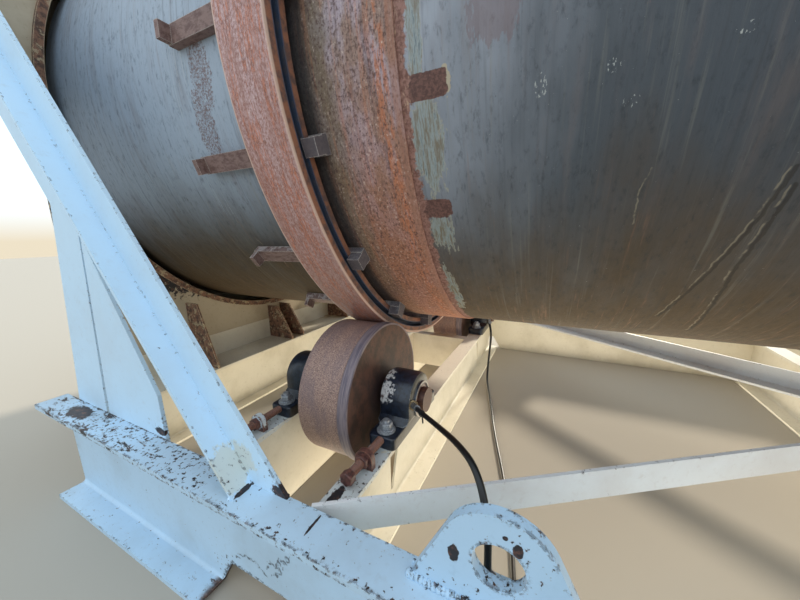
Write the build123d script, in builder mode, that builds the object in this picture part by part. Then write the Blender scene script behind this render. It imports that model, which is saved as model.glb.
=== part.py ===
"""Rotary drum mixer unit of an asphalt plant, on its steel skid frame.

The drum lies along X and turns on two riding rings, each carried by two trunnion
rollers in pillow blocks. The frame is two channel beams with channel crossmembers
between them. Both drum ends run inside breeching housings. Millimetres, +Z up,
origin on the ground under the middle of the drum. Front is -Y.
"""

from build123d import *
from math import acos, atan2, cos, hypot, radians, sin, tan
import os

os.makedirs("parts", exist_ok=True)

# Main beams, 15 inch channels with their backs towards the drum
beam_depth = 381
beam_flange = 86
beam_web = 10.2
beam_flange_t = 16.5
beam_root_r = 12         # round between web and flange
half_gauge = 1089        # from the drum's middle plane to the back of each beam
notch_height = 90        # lifting notch under each ring, cut through flange and web
notch_out = 145          # its foot outward of the ring's middle
notch_in = 245           # and inward of it
notch_slope = 53         # how far each side leans in on its way up

# Crossmembers, channels between the beams
cross_depth = 305
end_cross_depth = 279
cross_flange = 76
cross_web = 8
cross_flange_t = 12.7
cross_root_r = 8
slot_y = 660             # slots in the inward bearing crossmembers, middle of their foot
slot_low = 50
slot_high = 188
slot_foot_w = 14
slot_top_w = 58

# Places along the drum, measured from its middle or from a riding ring
ring_x = 2525            # middle of the drum to the middle of each ring
ring_to_frame_end = 967
ring_to_seal_plate = 1090
ring_to_middle_cross = 1705

# Drum
shell_r = 890
shell_t = 12
shell_overlap_length = 90    # how far the shell runs on inside the breeching
band_t = 6               # wrapper band on the shell, under the ring
band_out = 60            # its edge outward of the ring's middle
band_in = 308            # its edge inward of the ring's middle

# Riding ring, a rolled rail section on lug bars
ring_width = 143
ring_tread_t = 27
ring_groove_depth = 17.4
ring_foot_t = 20
ring_web_t = 62
lug_count = 18
lug_first_angle = 9.5    # from the top of the drum towards the front
lug_width = 48
lug_height = 19          # above the wrapper band
lug_out = 341            # a lug bar's reach outward of the ring's middle
lug_in = 111             # and inward of it
lug_seat = 0.3           # clearance of the bars from the shell, the band and the ring
stop_width = 42
stop_height = 30         # stops at both ends of a bar, above its top
stop_end_t = 16          # thickness of the stop at the outward end

# Trunnion rollers
roller_r = 236
roller_lip = 5           # how far the unworn lip stands above the worn tread
roller_lip_w = 38
roller_face = 187
roller_shift = 19        # middle of the roller inward of the ring's middle
trunnion_angle = 29.7    # from straight down, seen from the drum's axis
shaft_r = 40
shaft_out = 19           # how far the shaft's ends stand out of the blocks
running_gap = 0.3
shaft_gap = 0.05

# Pillow blocks, on the two bearing crossmembers of each ring
inner_bearing_x = 168    # middle of the roller to the inward bearing
outer_bearing_x = 248    # middle of the roller to the outward bearing
block_base_l = 350
block_base_w = 92
block_base_corner_r = 16
block_foot_t = 38
block_centre_height = 89.5    # shaft above the crossmember's top
block_housing_r = 88
block_housing_w = 112
block_flare = 20         # how the pedestal spreads where it meets the foot
block_cap_r = 60
block_cap_out = 8

# Grease hoses from the inward blocks of the left ring to a bracket on the front beam
hose_r = 7
hose_boss_r = 11
hose_boss_length = 34
hose_boss_root = 14      # how deep the boss starts inside the housing
hose_boss_height = 9.5   # above the shaft's middle
hose_boss_aside = 65     # towards the front from the shaft's middle
bracket_from_x = 530     # inward of the ring
bracket_length = 84
bracket_width = 55
bracket_t = 8
bracket_drop = 29        # its top below the beam's top

# Jacking screws that push the pillow blocks sideways
screw_r = 11
screw_length = 178
screw_height = 28
screw_lug_r = 27
screw_lug_t = 18
screw_lug_y = 262        # middle of the bearing to the lug
screw_sides = 12

# Spacers between the bearing crossmembers
spacer_to_roller = 293   # from the middle of the roller towards the drum's middle plane
spacer_depth = 203
spacer_flange = 57
spacer_wall = 9

# Plan bracing, angles laid on the crossmembers
angle_leg = 76
angle_t = 9.5
plan_start_x = 200       # where the brace leaves the beam, inward of the ring
plan_end_y = 72          # where it stops short of the drum's middle plane

# Struts up to the breeching, angles standing on the main beams
strut_foot = 84          # middle of the strut's foot inward of the ring
strut_lean = 52          # degrees above the ground
strut_leg = 89
strut_out_leg = 62
strut_t = 9.5

# Gusset posts, one slit plate behind each strut; places are measured from the ring
post_t = 10
post_lap = 100           # how far the plate laps down behind the beam's web
post_foot_out = -872
post_kink = (-738, 1043)
post_slit_x = -663       # middle of the slit at the beam's top
post_slit_top = (-593, 960)
post_slit_w = 20
post_slit_top_w = 8
post_foot_in = -331
post_toe = (-335, 514)
post_crown = (-569, 913)

# Lifting lugs
lug_plate_t = 20
lug_plate_x = 580        # inward of the ring
lug_plate_r = 86
lug_plate_hole_height = 87    # hole above the beam's top
lug_plate_foot = 140
lug_hole_r = 38
lug_plate_out = 23       # middle of the plate outward of the beam's back

# Breeching housings
breech_side = 95         # from the shell to the housing's sides
breech_head = 99         # from the shell to its roof
breech_depth = 620
breech_taper = 285       # how far each side closes in from the front to the back
breech_wall = 6
breech_hole_gap = 35     # between the shell and the hole in the front
breech_ear_over = 30     # how far the front's ears run past the struts and posts
sill_height = 123        # sill angle between the end crossmember's top and the housing
seal_gap = 32
seal_width = 28
seal_t = 12
gusset_t = 10
gusset_land = 90         # level top of each gusset, out from the front plate
gusset_toe = 20
gusset_outer_y = 560
gusset_outer_drop = 75   # its top below the seal ring there
gusset_inner_y = 50
gusset_inner_drop = 12

frame_half = ring_x + ring_to_frame_end
plate_x = ring_x + ring_to_seal_plate
bracket_top = beam_depth - bracket_drop
lug_top_r = shell_r + band_t + lug_height
ring_inner_r = (lug_top_r**2 + (lug_width / 2) ** 2) ** 0.5 + lug_seat
ring_r = ring_inner_r + ring_foot_t + ring_groove_depth + ring_tread_t
trunnion_reach = ring_r + roller_r + running_gap
roller_y = trunnion_reach * sin(radians(trunnion_angle))
roller_z = cross_depth + block_centre_height
spacer_y = roller_y - spacer_to_roller
roller_x = ring_x - roller_shift
drum_height = roller_z + trunnion_reach * cos(radians(trunnion_angle))
seal_r = shell_r + seal_gap + seal_width
breech_half_w = shell_r + breech_side
breech_back_half_w = breech_half_w - breech_taper
breech_floor = end_cross_depth + sill_height
breech_roof = drum_height + shell_r + breech_head
cross_x = {
    "end": frame_half,
    "outer": roller_x + outer_bearing_x + cross_flange / 2,
    "inner": roller_x - inner_bearing_x + cross_flange / 2,
    "middle": ring_x - ring_to_middle_cross + cross_flange / 2,
}


def save(piece, name):
    """Label a finished piece and write it under its own name."""
    piece.part.label = name
    export_step(piece.part, f"parts/{name}.step")


def mirrored(piece, about):
    """The same piece on the other side of a middle plane."""
    with BuildPart() as other:
        mirror(piece.part, about=about)
    return other


def save_ends(piece, name):
    """Save a piece of the left end and its mirror image at the right end."""
    save(piece, f"left_{name}")
    save(mirrored(piece, Plane.YZ), f"right_{name}")


def save_both(piece, name):
    """Save a small piece of the left end and its mirror image together as one set."""
    with BuildPart() as pair:
        add(piece.part)
        mirror(about=Plane.YZ)
    save(pair, name)


# Main beams

with BuildPart() as beam:
    with BuildSketch(Plane.YZ.offset(-frame_half)) as beam_section:
        with BuildLine():
            Polyline(
                (-half_gauge, 0),
                (-half_gauge - beam_flange, 0),
                (-half_gauge - beam_flange, beam_flange_t),
                (-half_gauge - beam_web, beam_flange_t),
                (-half_gauge - beam_web, beam_depth - beam_flange_t),
                (-half_gauge - beam_flange, beam_depth - beam_flange_t),
                (-half_gauge - beam_flange, beam_depth),
                (-half_gauge, beam_depth),
                close=True,
            )
        make_face()
        fillet(beam_section.vertices().group_by(Axis.X)[1], radius=beam_root_r)
    extrude(amount=2 * frame_half)
    with BuildSketch(Plane.XZ.offset(half_gauge)):
        for end in (-1, 1):
            with BuildLine():
                Polyline(
                    (end * (ring_x + notch_out), 0),
                    (end * (ring_x + notch_out - notch_slope), notch_height),
                    (end * (ring_x - notch_in + notch_slope), notch_height),
                    (end * (ring_x - notch_in), 0),
                    close=True,
                )
            make_face()
    extrude(amount=beam_flange, mode=Mode.SUBTRACT)
save(mirrored(beam, Plane.XZ), "rear_main_beam")

with BuildPart() as front_beam:
    add(beam.part)
    with BuildSketch(Plane.XY.offset(bracket_top - bracket_t)):
        with Locations((-ring_x + bracket_from_x + bracket_length / 2, bracket_width / 2 - half_gauge)):
            Rectangle(bracket_length, bracket_width)
    extrude(amount=bracket_t)
save(front_beam, "front_main_beam")


# Crossmembers


def crossmember(back_x, depth, towards):
    """A channel along Y with its web's back at back_x and its flanges towards +X or -X."""
    with BuildPart() as piece:
        with BuildSketch(Plane.XZ.offset(-half_gauge)) as section:
            with BuildLine():
                Polyline(
                    (back_x, 0),
                    (back_x + towards * cross_flange, 0),
                    (back_x + towards * cross_flange, cross_flange_t),
                    (back_x + towards * cross_web, cross_flange_t),
                    (back_x + towards * cross_web, depth - cross_flange_t),
                    (back_x + towards * cross_flange, depth - cross_flange_t),
                    (back_x + towards * cross_flange, depth),
                    (back_x, depth),
                    close=True,
                )
            make_face()
            fillet(section.vertices().group_by(Axis.X)[1], radius=cross_root_r)
        extrude(amount=2 * half_gauge)
    return piece


def slotted(channel, back_x):
    """The channel with a tapered slot through its web near each end."""
    with BuildPart() as piece:
        add(channel.part)
        with BuildSketch(Plane.YZ.offset(back_x)):
            for side in (-1, 1):
                with BuildLine():
                    Polyline(
                        (side * (slot_y - slot_foot_w / 2), slot_low),
                        (side * (slot_y + slot_foot_w / 2), slot_low),
                        (side * (slot_y + slot_foot_w / 2), slot_high),
                        (side * (slot_y + slot_foot_w / 2 - slot_top_w), slot_high),
                        close=True,
                    )
                make_face()
        extrude(amount=cross_web, mode=Mode.SUBTRACT)
    return piece


save_ends(crossmember(-cross_x["end"], end_cross_depth, 1), "end_crossmember")
outer_back = cross_flange - cross_x["outer"]
middle_back = cross_flange - cross_x["middle"]
save_ends(crossmember(outer_back, cross_depth, -1), "outer_bearing_crossmember")
inner_channel = crossmember(-cross_x["inner"], cross_depth, 1)
save_ends(slotted(inner_channel, -cross_x["inner"]), "inner_bearing_crossmember")
save_ends(crossmember(middle_back, cross_depth, -1), "middle_crossmember")

# Spacers between the two bearing crossmembers

spacer_from = outer_back
spacer_to = -cross_x["inner"]
with BuildPart() as spacers:
    with BuildSketch(Plane.YZ.offset(spacer_from)):
        with BuildLine():
            Polyline(
                (spacer_y, cross_depth - spacer_depth),
                (spacer_y + spacer_flange, cross_depth - spacer_depth),
                (spacer_y + spacer_flange, cross_depth - spacer_depth + spacer_wall),
                (spacer_y + spacer_wall, cross_depth - spacer_depth + spacer_wall),
                (spacer_y + spacer_wall, cross_depth - spacer_wall),
                (spacer_y + spacer_flange, cross_depth - spacer_wall),
                (spacer_y + spacer_flange, cross_depth),
                (spacer_y, cross_depth),
                close=True,
            )
        make_face()
    extrude(amount=spacer_to - spacer_from)
    mirror(about=Plane.XZ)
save_both(spacers, "bearing_spacers")

# Plan braces, from each beam to the middle of the next crossmember

plan_end_x = -cross_x["middle"] + cross_flange / 2
plan_from = (-ring_x + plan_start_x, -half_gauge)
plan_to = (plan_end_x, -plan_end_y)
plan_run = Vector(plan_to[0] - plan_from[0], plan_to[1] - plan_from[1], 0)
plan_dir = plan_run.normalized()
with BuildPart() as plan_braces:
    section = Plane(
        origin=(plan_from[0], plan_from[1], cross_depth),
        x_dir=(-plan_dir.Y, plan_dir.X, 0),
        z_dir=plan_dir,
    )
    with BuildSketch(section):
        with BuildLine():
            Polyline(
                (0, 0),
                (angle_leg, 0),
                (angle_leg, angle_t),
                (angle_t, angle_t),
                (angle_t, angle_leg),
                (0, angle_leg),
                close=True,
            )
        make_face()
    extrude(amount=plan_run.length)
    with BuildSketch(Plane.XY):
        with Locations((-ring_x, -half_gauge - beam_flange / 2)):
            Rectangle(6 * ring_to_middle_cross, beam_flange)
    extrude(amount=beam_depth * 2, mode=Mode.SUBTRACT)
    mirror(about=Plane.XZ)
save_both(plan_braces, "plan_braces")

# Drum shell with its wrapper bands


def around_drum(points):
    """A piece turned about the drum's axis, from an outline of x and radius."""
    with BuildPart() as piece:
        with BuildSketch(Plane.XZ):
            with BuildLine():
                Polyline(*[(x, drum_height + r) for x, r in points], close=True)
            make_face()
        revolve(axis=Axis((0, 0, drum_height), (1, 0, 0)))
    return piece


shell_end = plate_x + shell_overlap_length
with BuildPart() as shell:
    with BuildSketch(Plane.YZ.offset(-shell_end)):
        with Locations((0, drum_height)):
            Circle(shell_r)
            Circle(shell_r - shell_t, mode=Mode.SUBTRACT)
    extrude(amount=2 * shell_end)
save(shell, "drum_shell")

band = around_drum([
    (-ring_x - band_out, shell_r),
    (-ring_x + band_in, shell_r),
    (-ring_x + band_in, shell_r + band_t),
    (-ring_x - band_out, shell_r + band_t),
])
save_ends(band, "wrapper_band")

# Riding rings

half_ring = ring_width / 2
ring = around_drum([
    (-ring_x - half_ring, ring_r),
    (-ring_x + half_ring, ring_r),
    (-ring_x + half_ring, ring_r - ring_tread_t),
    (-ring_x + ring_web_t / 2, ring_r - ring_tread_t),
    (-ring_x + ring_web_t / 2, ring_inner_r + ring_foot_t),
    (-ring_x + half_ring, ring_inner_r + ring_foot_t),
    (-ring_x + half_ring, ring_inner_r),
    (-ring_x - half_ring, ring_inner_r),
    (-ring_x - half_ring, ring_inner_r + ring_foot_t),
    (-ring_x - ring_web_t / 2, ring_inner_r + ring_foot_t),
    (-ring_x - ring_web_t / 2, ring_r - ring_tread_t),
    (-ring_x - half_ring, ring_r - ring_tread_t),
])
save_ends(ring, "riding_ring")

# Lug bars that carry each ring clear of the shell, with a stop at both ends

band_r = shell_r + band_t
step_x = -ring_x - band_out - lug_seat
stop_x = -ring_x + half_ring + lug_seat
stop_spans = [
    (-ring_x - lug_out, -ring_x - lug_out + stop_end_t),
    (stop_x, -ring_x + lug_in),
]
with BuildPart() as lug:
    with BuildSketch(Plane.XZ):
        with BuildLine():
            Polyline(
                (-ring_x - lug_out, drum_height + shell_r + lug_seat),
                (step_x, drum_height + shell_r + lug_seat),
                (step_x, drum_height + band_r + lug_seat),
                (-ring_x + lug_in, drum_height + band_r + lug_seat),
                (-ring_x + lug_in, drum_height + lug_top_r),
                (-ring_x - lug_out, drum_height + lug_top_r),
                close=True,
            )
        make_face()
    extrude(amount=lug_width / 2, both=True)
    for from_x, to_x in stop_spans:
        with BuildSketch(Plane.XY.offset(drum_height + lug_top_r)):
            with Locations(((from_x + to_x) / 2, 0)):
                Rectangle(to_x - from_x, stop_width)
        extrude(amount=stop_height)
with BuildPart() as lugs:
    for index in range(lug_count):
        turn = lug_first_angle + index * 360 / lug_count
        add(lug.part.rotate(Axis((0, 0, drum_height), (1, 0, 0)), turn))
save_ends(lugs, "ring_lug_bars")

# Trunnion rollers and their shafts


def roller(sign):
    """The front or rear roller of the left ring; the wear lip is on its inward side."""
    left = -roller_x - roller_face / 2
    right = -roller_x + roller_face / 2
    with BuildPart() as piece:
        with BuildSketch(Plane.XZ.offset(-sign * roller_y)):
            with BuildLine():
                Polyline(
                    (left, roller_z + shaft_r),
                    (left, roller_z + roller_r),
                    (right - roller_lip_w, roller_z + roller_r),
                    (right - roller_lip_w + roller_lip, roller_z + roller_r + roller_lip),
                    (right, roller_z + roller_r + roller_lip),
                    (right, roller_z + shaft_r),
                    close=True,
                )
            make_face()
        revolve(axis=Axis((0, sign * roller_y, roller_z), (1, 0, 0)))
    return piece


def roller_shaft(sign):
    """The shaft through the roller and both pillow blocks."""
    left = -roller_x - outer_bearing_x - block_housing_w / 2 - block_cap_out - shaft_out
    right = -roller_x + inner_bearing_x + block_housing_w / 2 + block_cap_out + shaft_out
    with BuildPart() as piece:
        with BuildSketch(Plane.YZ.offset(left)):
            with Locations((sign * roller_y, roller_z)):
                Circle(shaft_r)
        extrude(amount=right - left)
    return piece


sides = {"front": -1, "rear": 1}
for side, sign in sides.items():
    save_ends(roller(sign), f"{side}_roller")
    save_ends(roller_shaft(sign), f"{side}_roller_shaft")

# Ways of the two grease hoses, from the blocks to the bracket


def from_ring(points):
    """Points measured from the left ring's middle, on the ground, as places in the model."""
    return [Vector(x - ring_x, y, z) for x, y, z in points]


front_points = from_ring([
    (316, -754, 436),
    (398, -857, 482),
    (474, -947, 516),
    (522, -1003, 518),
    (551, -1044, 468),
    (556, -1056, 408),
    (556, -1056, bracket_top),
])
rear_points = from_ring([
    (271, 524, 306),
    (270, 513, 225),
    (266, 499, 140),
    (266, 472, 68),
    (274, 424, 21),
    (293, 350, 8),
    (324, 240, 7.5),
    (364, 90, 7.5),
    (401, -58, 7.5),
    (440, -195, 7.5),
    (479, -322, 7.5),
    (517, -455, 7.5),
    (551, -595, 7.5),
    (578, -735, 7.5),
    (595, -855, 8),
    (603, -945, 14),
    (605, -1002, 45),
    (602, -1035, 105),
    (596, -1050, 180),
    (590, -1057, 262),
    (590, -1057, bracket_top - bracket_t),
])

# Pillow blocks


def pillow_block(bearing_x, sign):
    """One block: rounded foot, barrel housing on a flared pedestal, and face rings."""
    middle_y = sign * roller_y
    foot_top = cross_depth + block_foot_t
    face_x = bearing_x - block_housing_w / 2
    with BuildPart() as piece:
        with BuildSketch(Plane.XY.offset(cross_depth)):
            with Locations((bearing_x, middle_y)):
                RectangleRounded(block_base_w, block_base_l, block_base_corner_r)
        extrude(amount=block_foot_t)
        with BuildSketch(Plane.YZ.offset(face_x)):
            with Locations((middle_y, roller_z)):
                Circle(block_housing_r)
            with BuildLine():
                Polyline(
                    (middle_y - block_housing_r, roller_z),
                    (middle_y - block_housing_r, foot_top + block_flare),
                    (middle_y - block_housing_r - block_flare, foot_top),
                    (middle_y + block_housing_r + block_flare, foot_top),
                    (middle_y + block_housing_r, foot_top + block_flare),
                    (middle_y + block_housing_r, roller_z),
                    close=True,
                )
            make_face()
        extrude(amount=block_housing_w)
        with BuildSketch(Plane.YZ.offset(face_x - block_cap_out)):
            with Locations((middle_y, roller_z)):
                Circle(block_cap_r)
        extrude(amount=block_housing_w + 2 * block_cap_out)
        with BuildSketch(Plane.YZ.offset(bearing_x - block_housing_w)):
            with Locations((middle_y, roller_z)):
                Circle(shaft_r + shaft_gap)
        extrude(amount=2 * block_housing_w, mode=Mode.SUBTRACT)
    return piece


def hose_boss(root, towards):
    """The grease boss on a housing's face, pointing the way its hose leaves."""
    with BuildPart() as piece:
        with BuildSketch(Plane(origin=root - towards * hose_boss_root, z_dir=towards)):
            Circle(hose_boss_r)
        extrude(amount=hose_boss_root + hose_boss_length)
    return piece


bearings = [
    (x, sign) for x in (-roller_x - outer_bearing_x, -roller_x + inner_bearing_x) for sign in (-1, 1)
]
boss_x = -roller_x + inner_bearing_x + block_housing_w / 2
boss_z = roller_z + hose_boss_height
front_boss = Vector(boss_x, -roller_y - hose_boss_aside, boss_z)
rear_boss = Vector(boss_x, roller_y - hose_boss_aside, boss_z)
front_boss_way = (front_points[0] - front_boss).normalized()
rear_boss_way = (rear_points[0] - rear_boss).normalized()
with BuildPart() as blocks:
    for bearing_x, sign in bearings:
        add(pillow_block(bearing_x, sign).part)
    add(hose_boss(front_boss, front_boss_way).part)
    add(hose_boss(rear_boss, rear_boss_way).part)
save_ends(blocks, "pillow_blocks")

# Grease hoses, face to face with their bosses and with the bracket


def hose(route):
    """A hose along a route of points, its corners rounded as wide as their runs allow."""
    radii = []
    for before, corner, after in zip(route, route[1:], route[2:]):
        turn = (corner - before).get_angle(after - corner)
        shorter = min((corner - before).length, (after - corner).length)
        radii.append(0.45 * shorter / tan(radians(turn / 2)))
    with BuildPart() as piece:
        with BuildLine():
            FilletPolyline(*route, radius=radii)
        with BuildSketch(Plane(origin=route[0], z_dir=route[1] - route[0])):
            Circle(hose_r)
        sweep()
    return piece


save(hose([front_boss + front_boss_way * hose_boss_length] + front_points), "front_grease_hose")
save(hose([rear_boss + rear_boss_way * hose_boss_length] + rear_points), "rear_grease_hose")

# Jacking screws in their lugs


def jacking_screw(bearing_x, sign):
    """A lug welded on the crossmember and a screw through it against the block's foot."""
    lug_y = sign * (roller_y + screw_lug_y)
    tip_y = sign * (roller_y + block_base_l / 2)
    centre_z = cross_depth + screw_height
    with BuildPart() as piece:
        with BuildSketch(Plane.XZ.offset(-lug_y - screw_lug_t / 2)):
            with Locations((bearing_x, centre_z)):
                Circle(screw_lug_r)
            with Locations((bearing_x, cross_depth + screw_height / 2)):
                Rectangle(2 * screw_lug_r, screw_height)
        extrude(amount=screw_lug_t)
        with BuildSketch(Plane.XZ.offset(-tip_y)):
            with Locations((bearing_x, centre_z)):
                RegularPolygon(screw_r, screw_sides)
        extrude(amount=-sign * screw_length)
    return piece


with BuildPart() as screws:
    for bearing_x, sign in bearings:
        add(jacking_screw(bearing_x, sign).part)
save_ends(screws, "jacking_screws")

# Lifting lugs on the main beams

flank_reach = hypot(lug_plate_foot, lug_plate_hole_height)
flank_turn = acos(lug_plate_r / flank_reach) - atan2(lug_plate_hole_height, lug_plate_foot)
shoulder_x = lug_plate_r * cos(flank_turn)
shoulder_z = beam_depth + lug_plate_hole_height + lug_plate_r * sin(flank_turn)
with BuildPart() as lifting_lugs:
    with BuildSketch(Plane.XZ.offset(half_gauge + lug_plate_out - lug_plate_t / 2)):
        with BuildLine():
            Polyline(
                (-ring_x + lug_plate_x - lug_plate_foot, beam_depth),
                (-ring_x + lug_plate_x + lug_plate_foot, beam_depth),
                (-ring_x + lug_plate_x + shoulder_x, shoulder_z),
                (-ring_x + lug_plate_x - shoulder_x, shoulder_z),
                close=True,
            )
        make_face()
        with Locations((-ring_x + lug_plate_x, beam_depth + lug_plate_hole_height)):
            Circle(lug_plate_r)
            Circle(lug_hole_r, mode=Mode.SUBTRACT)
    extrude(amount=lug_plate_t)
    mirror(about=Plane.XZ)
save_both(lifting_lugs, "lifting_lugs")

# Struts that hold the breeching

strut_dir = Vector(-cos(radians(strut_lean)), 0, sin(radians(strut_lean)))
strut_side = Vector(sin(radians(strut_lean)), 0, cos(radians(strut_lean)))
strut_foot_x = -ring_x + strut_foot
strut_overrun = 2 * strut_leg
strut_run = (plate_x + strut_foot_x) / cos(radians(strut_lean))
with BuildPart() as struts:
    foot = Vector(strut_foot_x, -half_gauge, beam_depth)
    section = Plane(
        origin=foot - strut_side * (strut_leg / 2) - strut_dir * strut_overrun,
        x_dir=strut_side,
        z_dir=strut_dir,
    )
    with BuildSketch(section):
        with BuildLine():
            Polyline(
                (0, 0),
                (strut_leg, 0),
                (strut_leg, -strut_t),
                (strut_t, -strut_t),
                (strut_t, -strut_out_leg),
                (0, -strut_out_leg),
                close=True,
            )
        make_face()
    extrude(amount=strut_run + 2 * strut_overrun)
    split(bisect_by=Plane.XY.offset(beam_depth), keep=Keep.TOP)
    split(bisect_by=Plane.YZ.offset(-plate_x), keep=Keep.TOP)
    mirror(about=Plane.XZ)
save_ends(struts, "breeching_struts")


def strut_height(x, across):
    """Height of the strut at x, as far across its leg as given from its lower edge."""
    middle = beam_depth + (strut_foot_x - x) * tan(radians(strut_lean))
    return middle + (across - strut_leg / 2) / cos(radians(strut_lean))


# Gusset posts, slit plates lapped behind the beam's web and behind the strut

post_bottom = beam_depth - post_lap
post_upper = (-plate_x, post_kink[1] + (plate_x - ring_x + post_kink[0]) * tan(radians(strut_lean)))
post_crown_x = -ring_x + post_crown[0]
slit_slope = (post_slit_top[0] - post_slit_x) / (post_slit_top[1] - beam_depth)
slit_bottom_x = post_slit_x - slit_slope * post_lap
with BuildPart() as posts:
    with BuildSketch(Plane.XZ.offset(half_gauge - post_t)):
        with BuildLine():
            Polyline(
                (-ring_x + post_foot_out, post_bottom),
                (-ring_x + post_foot_out, beam_depth),
                (-ring_x + post_kink[0], post_kink[1]),
                post_upper,
                (-plate_x, strut_height(-plate_x, strut_leg / 2)),
                (post_crown_x, strut_height(post_crown_x, strut_leg / 2)),
                (post_crown_x, post_crown[1]),
                (-ring_x + post_toe[0], post_toe[1]),
                (-ring_x + post_foot_in, beam_depth),
                (-ring_x + post_foot_in, post_bottom),
                close=True,
            )
        make_face()
        with BuildLine():
            Polyline(
                (-ring_x + slit_bottom_x - post_slit_w / 2, post_bottom),
                (-ring_x + post_slit_top[0] - post_slit_top_w / 2, post_slit_top[1]),
                (-ring_x + post_slit_top[0] + post_slit_top_w / 2, post_slit_top[1]),
                (-ring_x + slit_bottom_x + post_slit_w / 2, post_bottom),
                close=True,
            )
        make_face(mode=Mode.SUBTRACT)
    extrude(amount=post_t)
    mirror(about=Plane.XZ)
save_ends(posts, "gusset_posts")

# Breeching housings; the front's ears take the ends of the struts and posts

breech_middle = (breech_floor + breech_roof) / 2
ear_half_w = half_gauge + strut_out_leg
ear_low = post_upper[1] - breech_ear_over
ear_high = strut_height(-plate_x, strut_leg) + breech_ear_over
with BuildPart() as breech_front:
    with BuildSketch(Plane.YZ.offset(-plate_x)):
        with Locations((0, breech_middle)):
            Rectangle(2 * breech_half_w, breech_roof - breech_floor)
        with Locations((0, (ear_low + ear_high) / 2)):
            Rectangle(2 * ear_half_w, ear_high - ear_low)
        with Locations((0, drum_height)):
            Circle(shell_r + breech_hole_gap, mode=Mode.SUBTRACT)
    extrude(amount=-breech_wall)
save_ends(breech_front, "breeching_front")

casing_front_x = -plate_x - breech_wall
casing_back_x = casing_front_x - breech_depth


def tapered(side_wall=0, level_wall=0):
    """The housing's tapered body, or its hollow inside walls of these thicknesses."""
    with BuildPart() as piece:
        for place, half_w in ((casing_front_x, breech_half_w), (casing_back_x, breech_back_half_w)):
            with BuildSketch(Plane.YZ.offset(place)):
                with Locations((0, breech_middle)):
                    Rectangle(2 * (half_w - side_wall), breech_roof - breech_floor - 2 * level_wall)
        loft()
    return piece


side_wall = breech_wall * hypot(breech_depth, breech_taper) / breech_depth
with BuildPart() as breech_casing:
    add(tapered().part)
    add(tapered(side_wall, breech_wall).part, mode=Mode.SUBTRACT)
save_ends(breech_casing, "breeching_casing")

with BuildPart() as breech_back:
    with BuildSketch(Plane.YZ.offset(casing_back_x)):
        with Locations((0, breech_middle)):
            Rectangle(2 * breech_back_half_w, breech_roof - breech_floor)
    extrude(amount=-breech_wall)
save_ends(breech_back, "breeching_back")

seal = around_drum([
    (-plate_x, shell_r + seal_gap),
    (-plate_x, seal_r),
    (-plate_x + seal_t, seal_r),
    (-plate_x + seal_t, shell_r + seal_gap),
])
save_ends(seal, "drum_seal_ring")

# Sill angles that carry the breeching fronts off the ends of the frame

with BuildPart() as sills:
    with BuildSketch(Plane.XZ.offset(-breech_half_w)):
        with BuildLine():
            Polyline(
                (-plate_x - breech_wall, end_cross_depth - breech_wall),
                (-frame_half, end_cross_depth - breech_wall),
                (-frame_half, end_cross_depth),
                (-plate_x, end_cross_depth),
                (-plate_x, breech_floor),
                (-plate_x - breech_wall, breech_floor),
                close=True,
            )
        make_face()
    extrude(amount=2 * breech_half_w)
save_both(sills, "breeching_sills")

# Gussets that stand on the end crossmember against the breeching front

end_inner_x = -cross_x["end"] + cross_flange
gussets_at = {gusset_outer_y: gusset_outer_drop, gusset_inner_y: gusset_inner_drop}
with BuildPart() as gussets:
    for place, drop in gussets_at.items():
        top = drum_height - (seal_r**2 - place**2) ** 0.5 - drop
        for side in (-1, 1):
            with BuildSketch(Plane.XZ.offset(side * place)):
                with BuildLine():
                    Polyline(
                        (-plate_x, end_cross_depth),
                        (end_inner_x, end_cross_depth),
                        (end_inner_x, end_cross_depth + gusset_toe),
                        (-plate_x + gusset_land, top),
                        (-plate_x, top),
                        close=True,
                    )
                make_face()
            extrude(amount=gusset_t / 2, both=True)
save_both(gussets, "breeching_gussets")
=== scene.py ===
"""The finishes, fittings and hoses of a rotary drum mixer unit, dressed around its frame."""

import math
import random

import bmesh
import bpy
from mathutils import Matrix, Vector


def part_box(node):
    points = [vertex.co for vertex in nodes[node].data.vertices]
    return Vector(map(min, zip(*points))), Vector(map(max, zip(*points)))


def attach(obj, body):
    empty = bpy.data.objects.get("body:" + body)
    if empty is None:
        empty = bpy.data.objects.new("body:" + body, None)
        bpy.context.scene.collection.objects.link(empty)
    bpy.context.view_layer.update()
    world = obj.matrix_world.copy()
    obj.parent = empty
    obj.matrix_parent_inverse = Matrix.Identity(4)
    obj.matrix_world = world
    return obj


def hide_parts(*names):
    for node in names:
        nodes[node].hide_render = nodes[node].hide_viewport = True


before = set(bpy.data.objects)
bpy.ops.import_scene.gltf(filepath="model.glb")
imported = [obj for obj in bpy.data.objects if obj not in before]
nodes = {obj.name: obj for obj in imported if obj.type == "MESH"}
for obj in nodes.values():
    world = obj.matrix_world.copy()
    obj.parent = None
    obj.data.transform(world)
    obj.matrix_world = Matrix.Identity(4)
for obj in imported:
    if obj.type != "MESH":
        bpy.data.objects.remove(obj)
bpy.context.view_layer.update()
bpy.ops.object.select_all(action="DESELECT")

# The viewpoint: low beside the left end of the frame, looking across the ring and its rollers
# with a wide lens, turned and tipped as someone standing there would hold a camera.

view_place = Vector((-1.9011, -1.5043, 0.9349))
view_turn = math.radians(-26.558)
view_tip = math.radians(-11.663)
view_roll = math.radians(1.067)
view_lens = 14.229

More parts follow.
